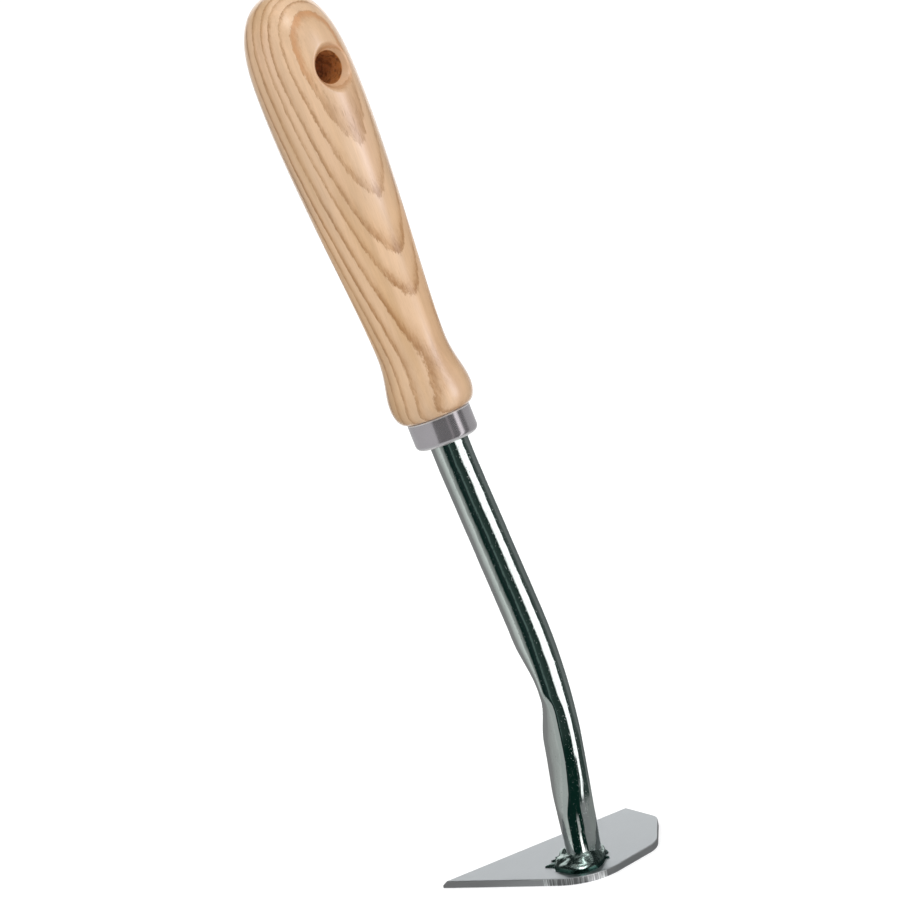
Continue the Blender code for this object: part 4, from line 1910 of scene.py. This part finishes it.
    def make_drum(
        self, name: str, radius: float, level: float, shader: Callable[[Graph], Wire]
    ) -> bpy.types.Object:
        """A drum of cards on the floor and round the hoe, which only shiny surfaces see.

        Args:
            name: its name.
            radius: its radius.
            level: the height of its floor.
            shader: its finish.

        Returns:
            The drum.
        """
        top = self.drum_height
        rows = [(self.drum_opening, level), (radius, level), (radius, top), (0.0, top)]
        shape = bmesh.new()
        skin(shape, [ring(reach, height, self.drum_sides) for reach, height in rows])
        surround = new_object(name, finished(name, shape))
        surround.rotation_euler.z = math.radians(-90.0 - self.turn)
        surround.data.materials.append(new_material(f"{name}_cards", shader))
        surround.visible_camera = False
        surround.visible_diffuse = False
        surround.visible_shadow = False
        surround.visible_transmission = False
        return surround

    def make_lamp(self, lamp: Lamp) -> bpy.types.Object:
        """Hangs a lamp and aims it at the middle of the hoe.

        Args:
            lamp: the lamp.

        Returns:
            Its object.
        """
        data = bpy.data.lights.new(lamp.name, "AREA")
        data.size = lamp.size
        data.energy = lamp.power
        made = new_object(lamp.name, data)
        turn, rise = math.radians(lamp.turn - 90.0 - self.turn), math.radians(lamp.rise)
        away = Vector((math.cos(turn) * math.cos(rise), math.sin(turn) * math.cos(rise), math.sin(rise)))
        made.location = (cad_low + cad_high) / 2.0 + away * lamp.distance
        made.rotation_mode = "QUATERNION"
        made.rotation_quaternion = away.to_track_quat("Z", "Y")
        made.visible_glossy = lamp.shows
        made.visible_diffuse = lamp.lights
        return made

    def build(self, bead: bpy.types.Object, ferrule: bpy.types.Object, wood: bpy.types.Object) -> None:
        """Everything in the studio.

        Args:
            bead: the weld bead, which has a small lamp of its own.
            ferrule: the ferrule, which has a surround of its own.
            wood: the handle, whose lacquer has a tall strip lamp of its own.
        """
        bpy.context.scene.view_settings.view_transform = "Standard"
        self.make_camera()
        self.make_world()
        self.make_floor()
        outer = self.make_drum("surround", self.outer_radius, self.outer_level, self._surround_shader)
        self.light_only(outer, ferrule, Lit.ALL_ELSE)
        inner = self.make_drum("inner_surround", self.inner_radius, self.inner_level, self._ferrule_shader)
        self.light_only(inner, ferrule)
        strip = self.make_lamp(self.strip)
        strip.data.shape = "RECTANGLE"
        strip.data.size_y = self.strip_height
        strip.data.color = self.strip_colour
        self.light_only(strip, wood)
        self.light_only(self.make_lamp(self.gleam), bead)
        for lamp in self.lamps:
            self.make_lamp(lamp)


def main() -> None:
    """Builds the hoe from its blade up, then the studio."""
    logging.basicConfig(level=logging.INFO, format="%(name)s: %(message)s")
    neck = Neck()
    tube_radius = neck.diameter / 2.0
    blade = Blade()
    blade.build()
    bead = WeldBead(tube_radius, blade.thickness, blade).build()
    neck.build()
    place = neck.handle_place()
    ferrule = Ferrule(tube_radius)
    cup = ferrule.build(place)
    wood = Handle(tube_radius, ferrule, neck.insertion).build(place)
    Studio().build(bead, cup, wood)


if __name__ == "__main__":
    main()
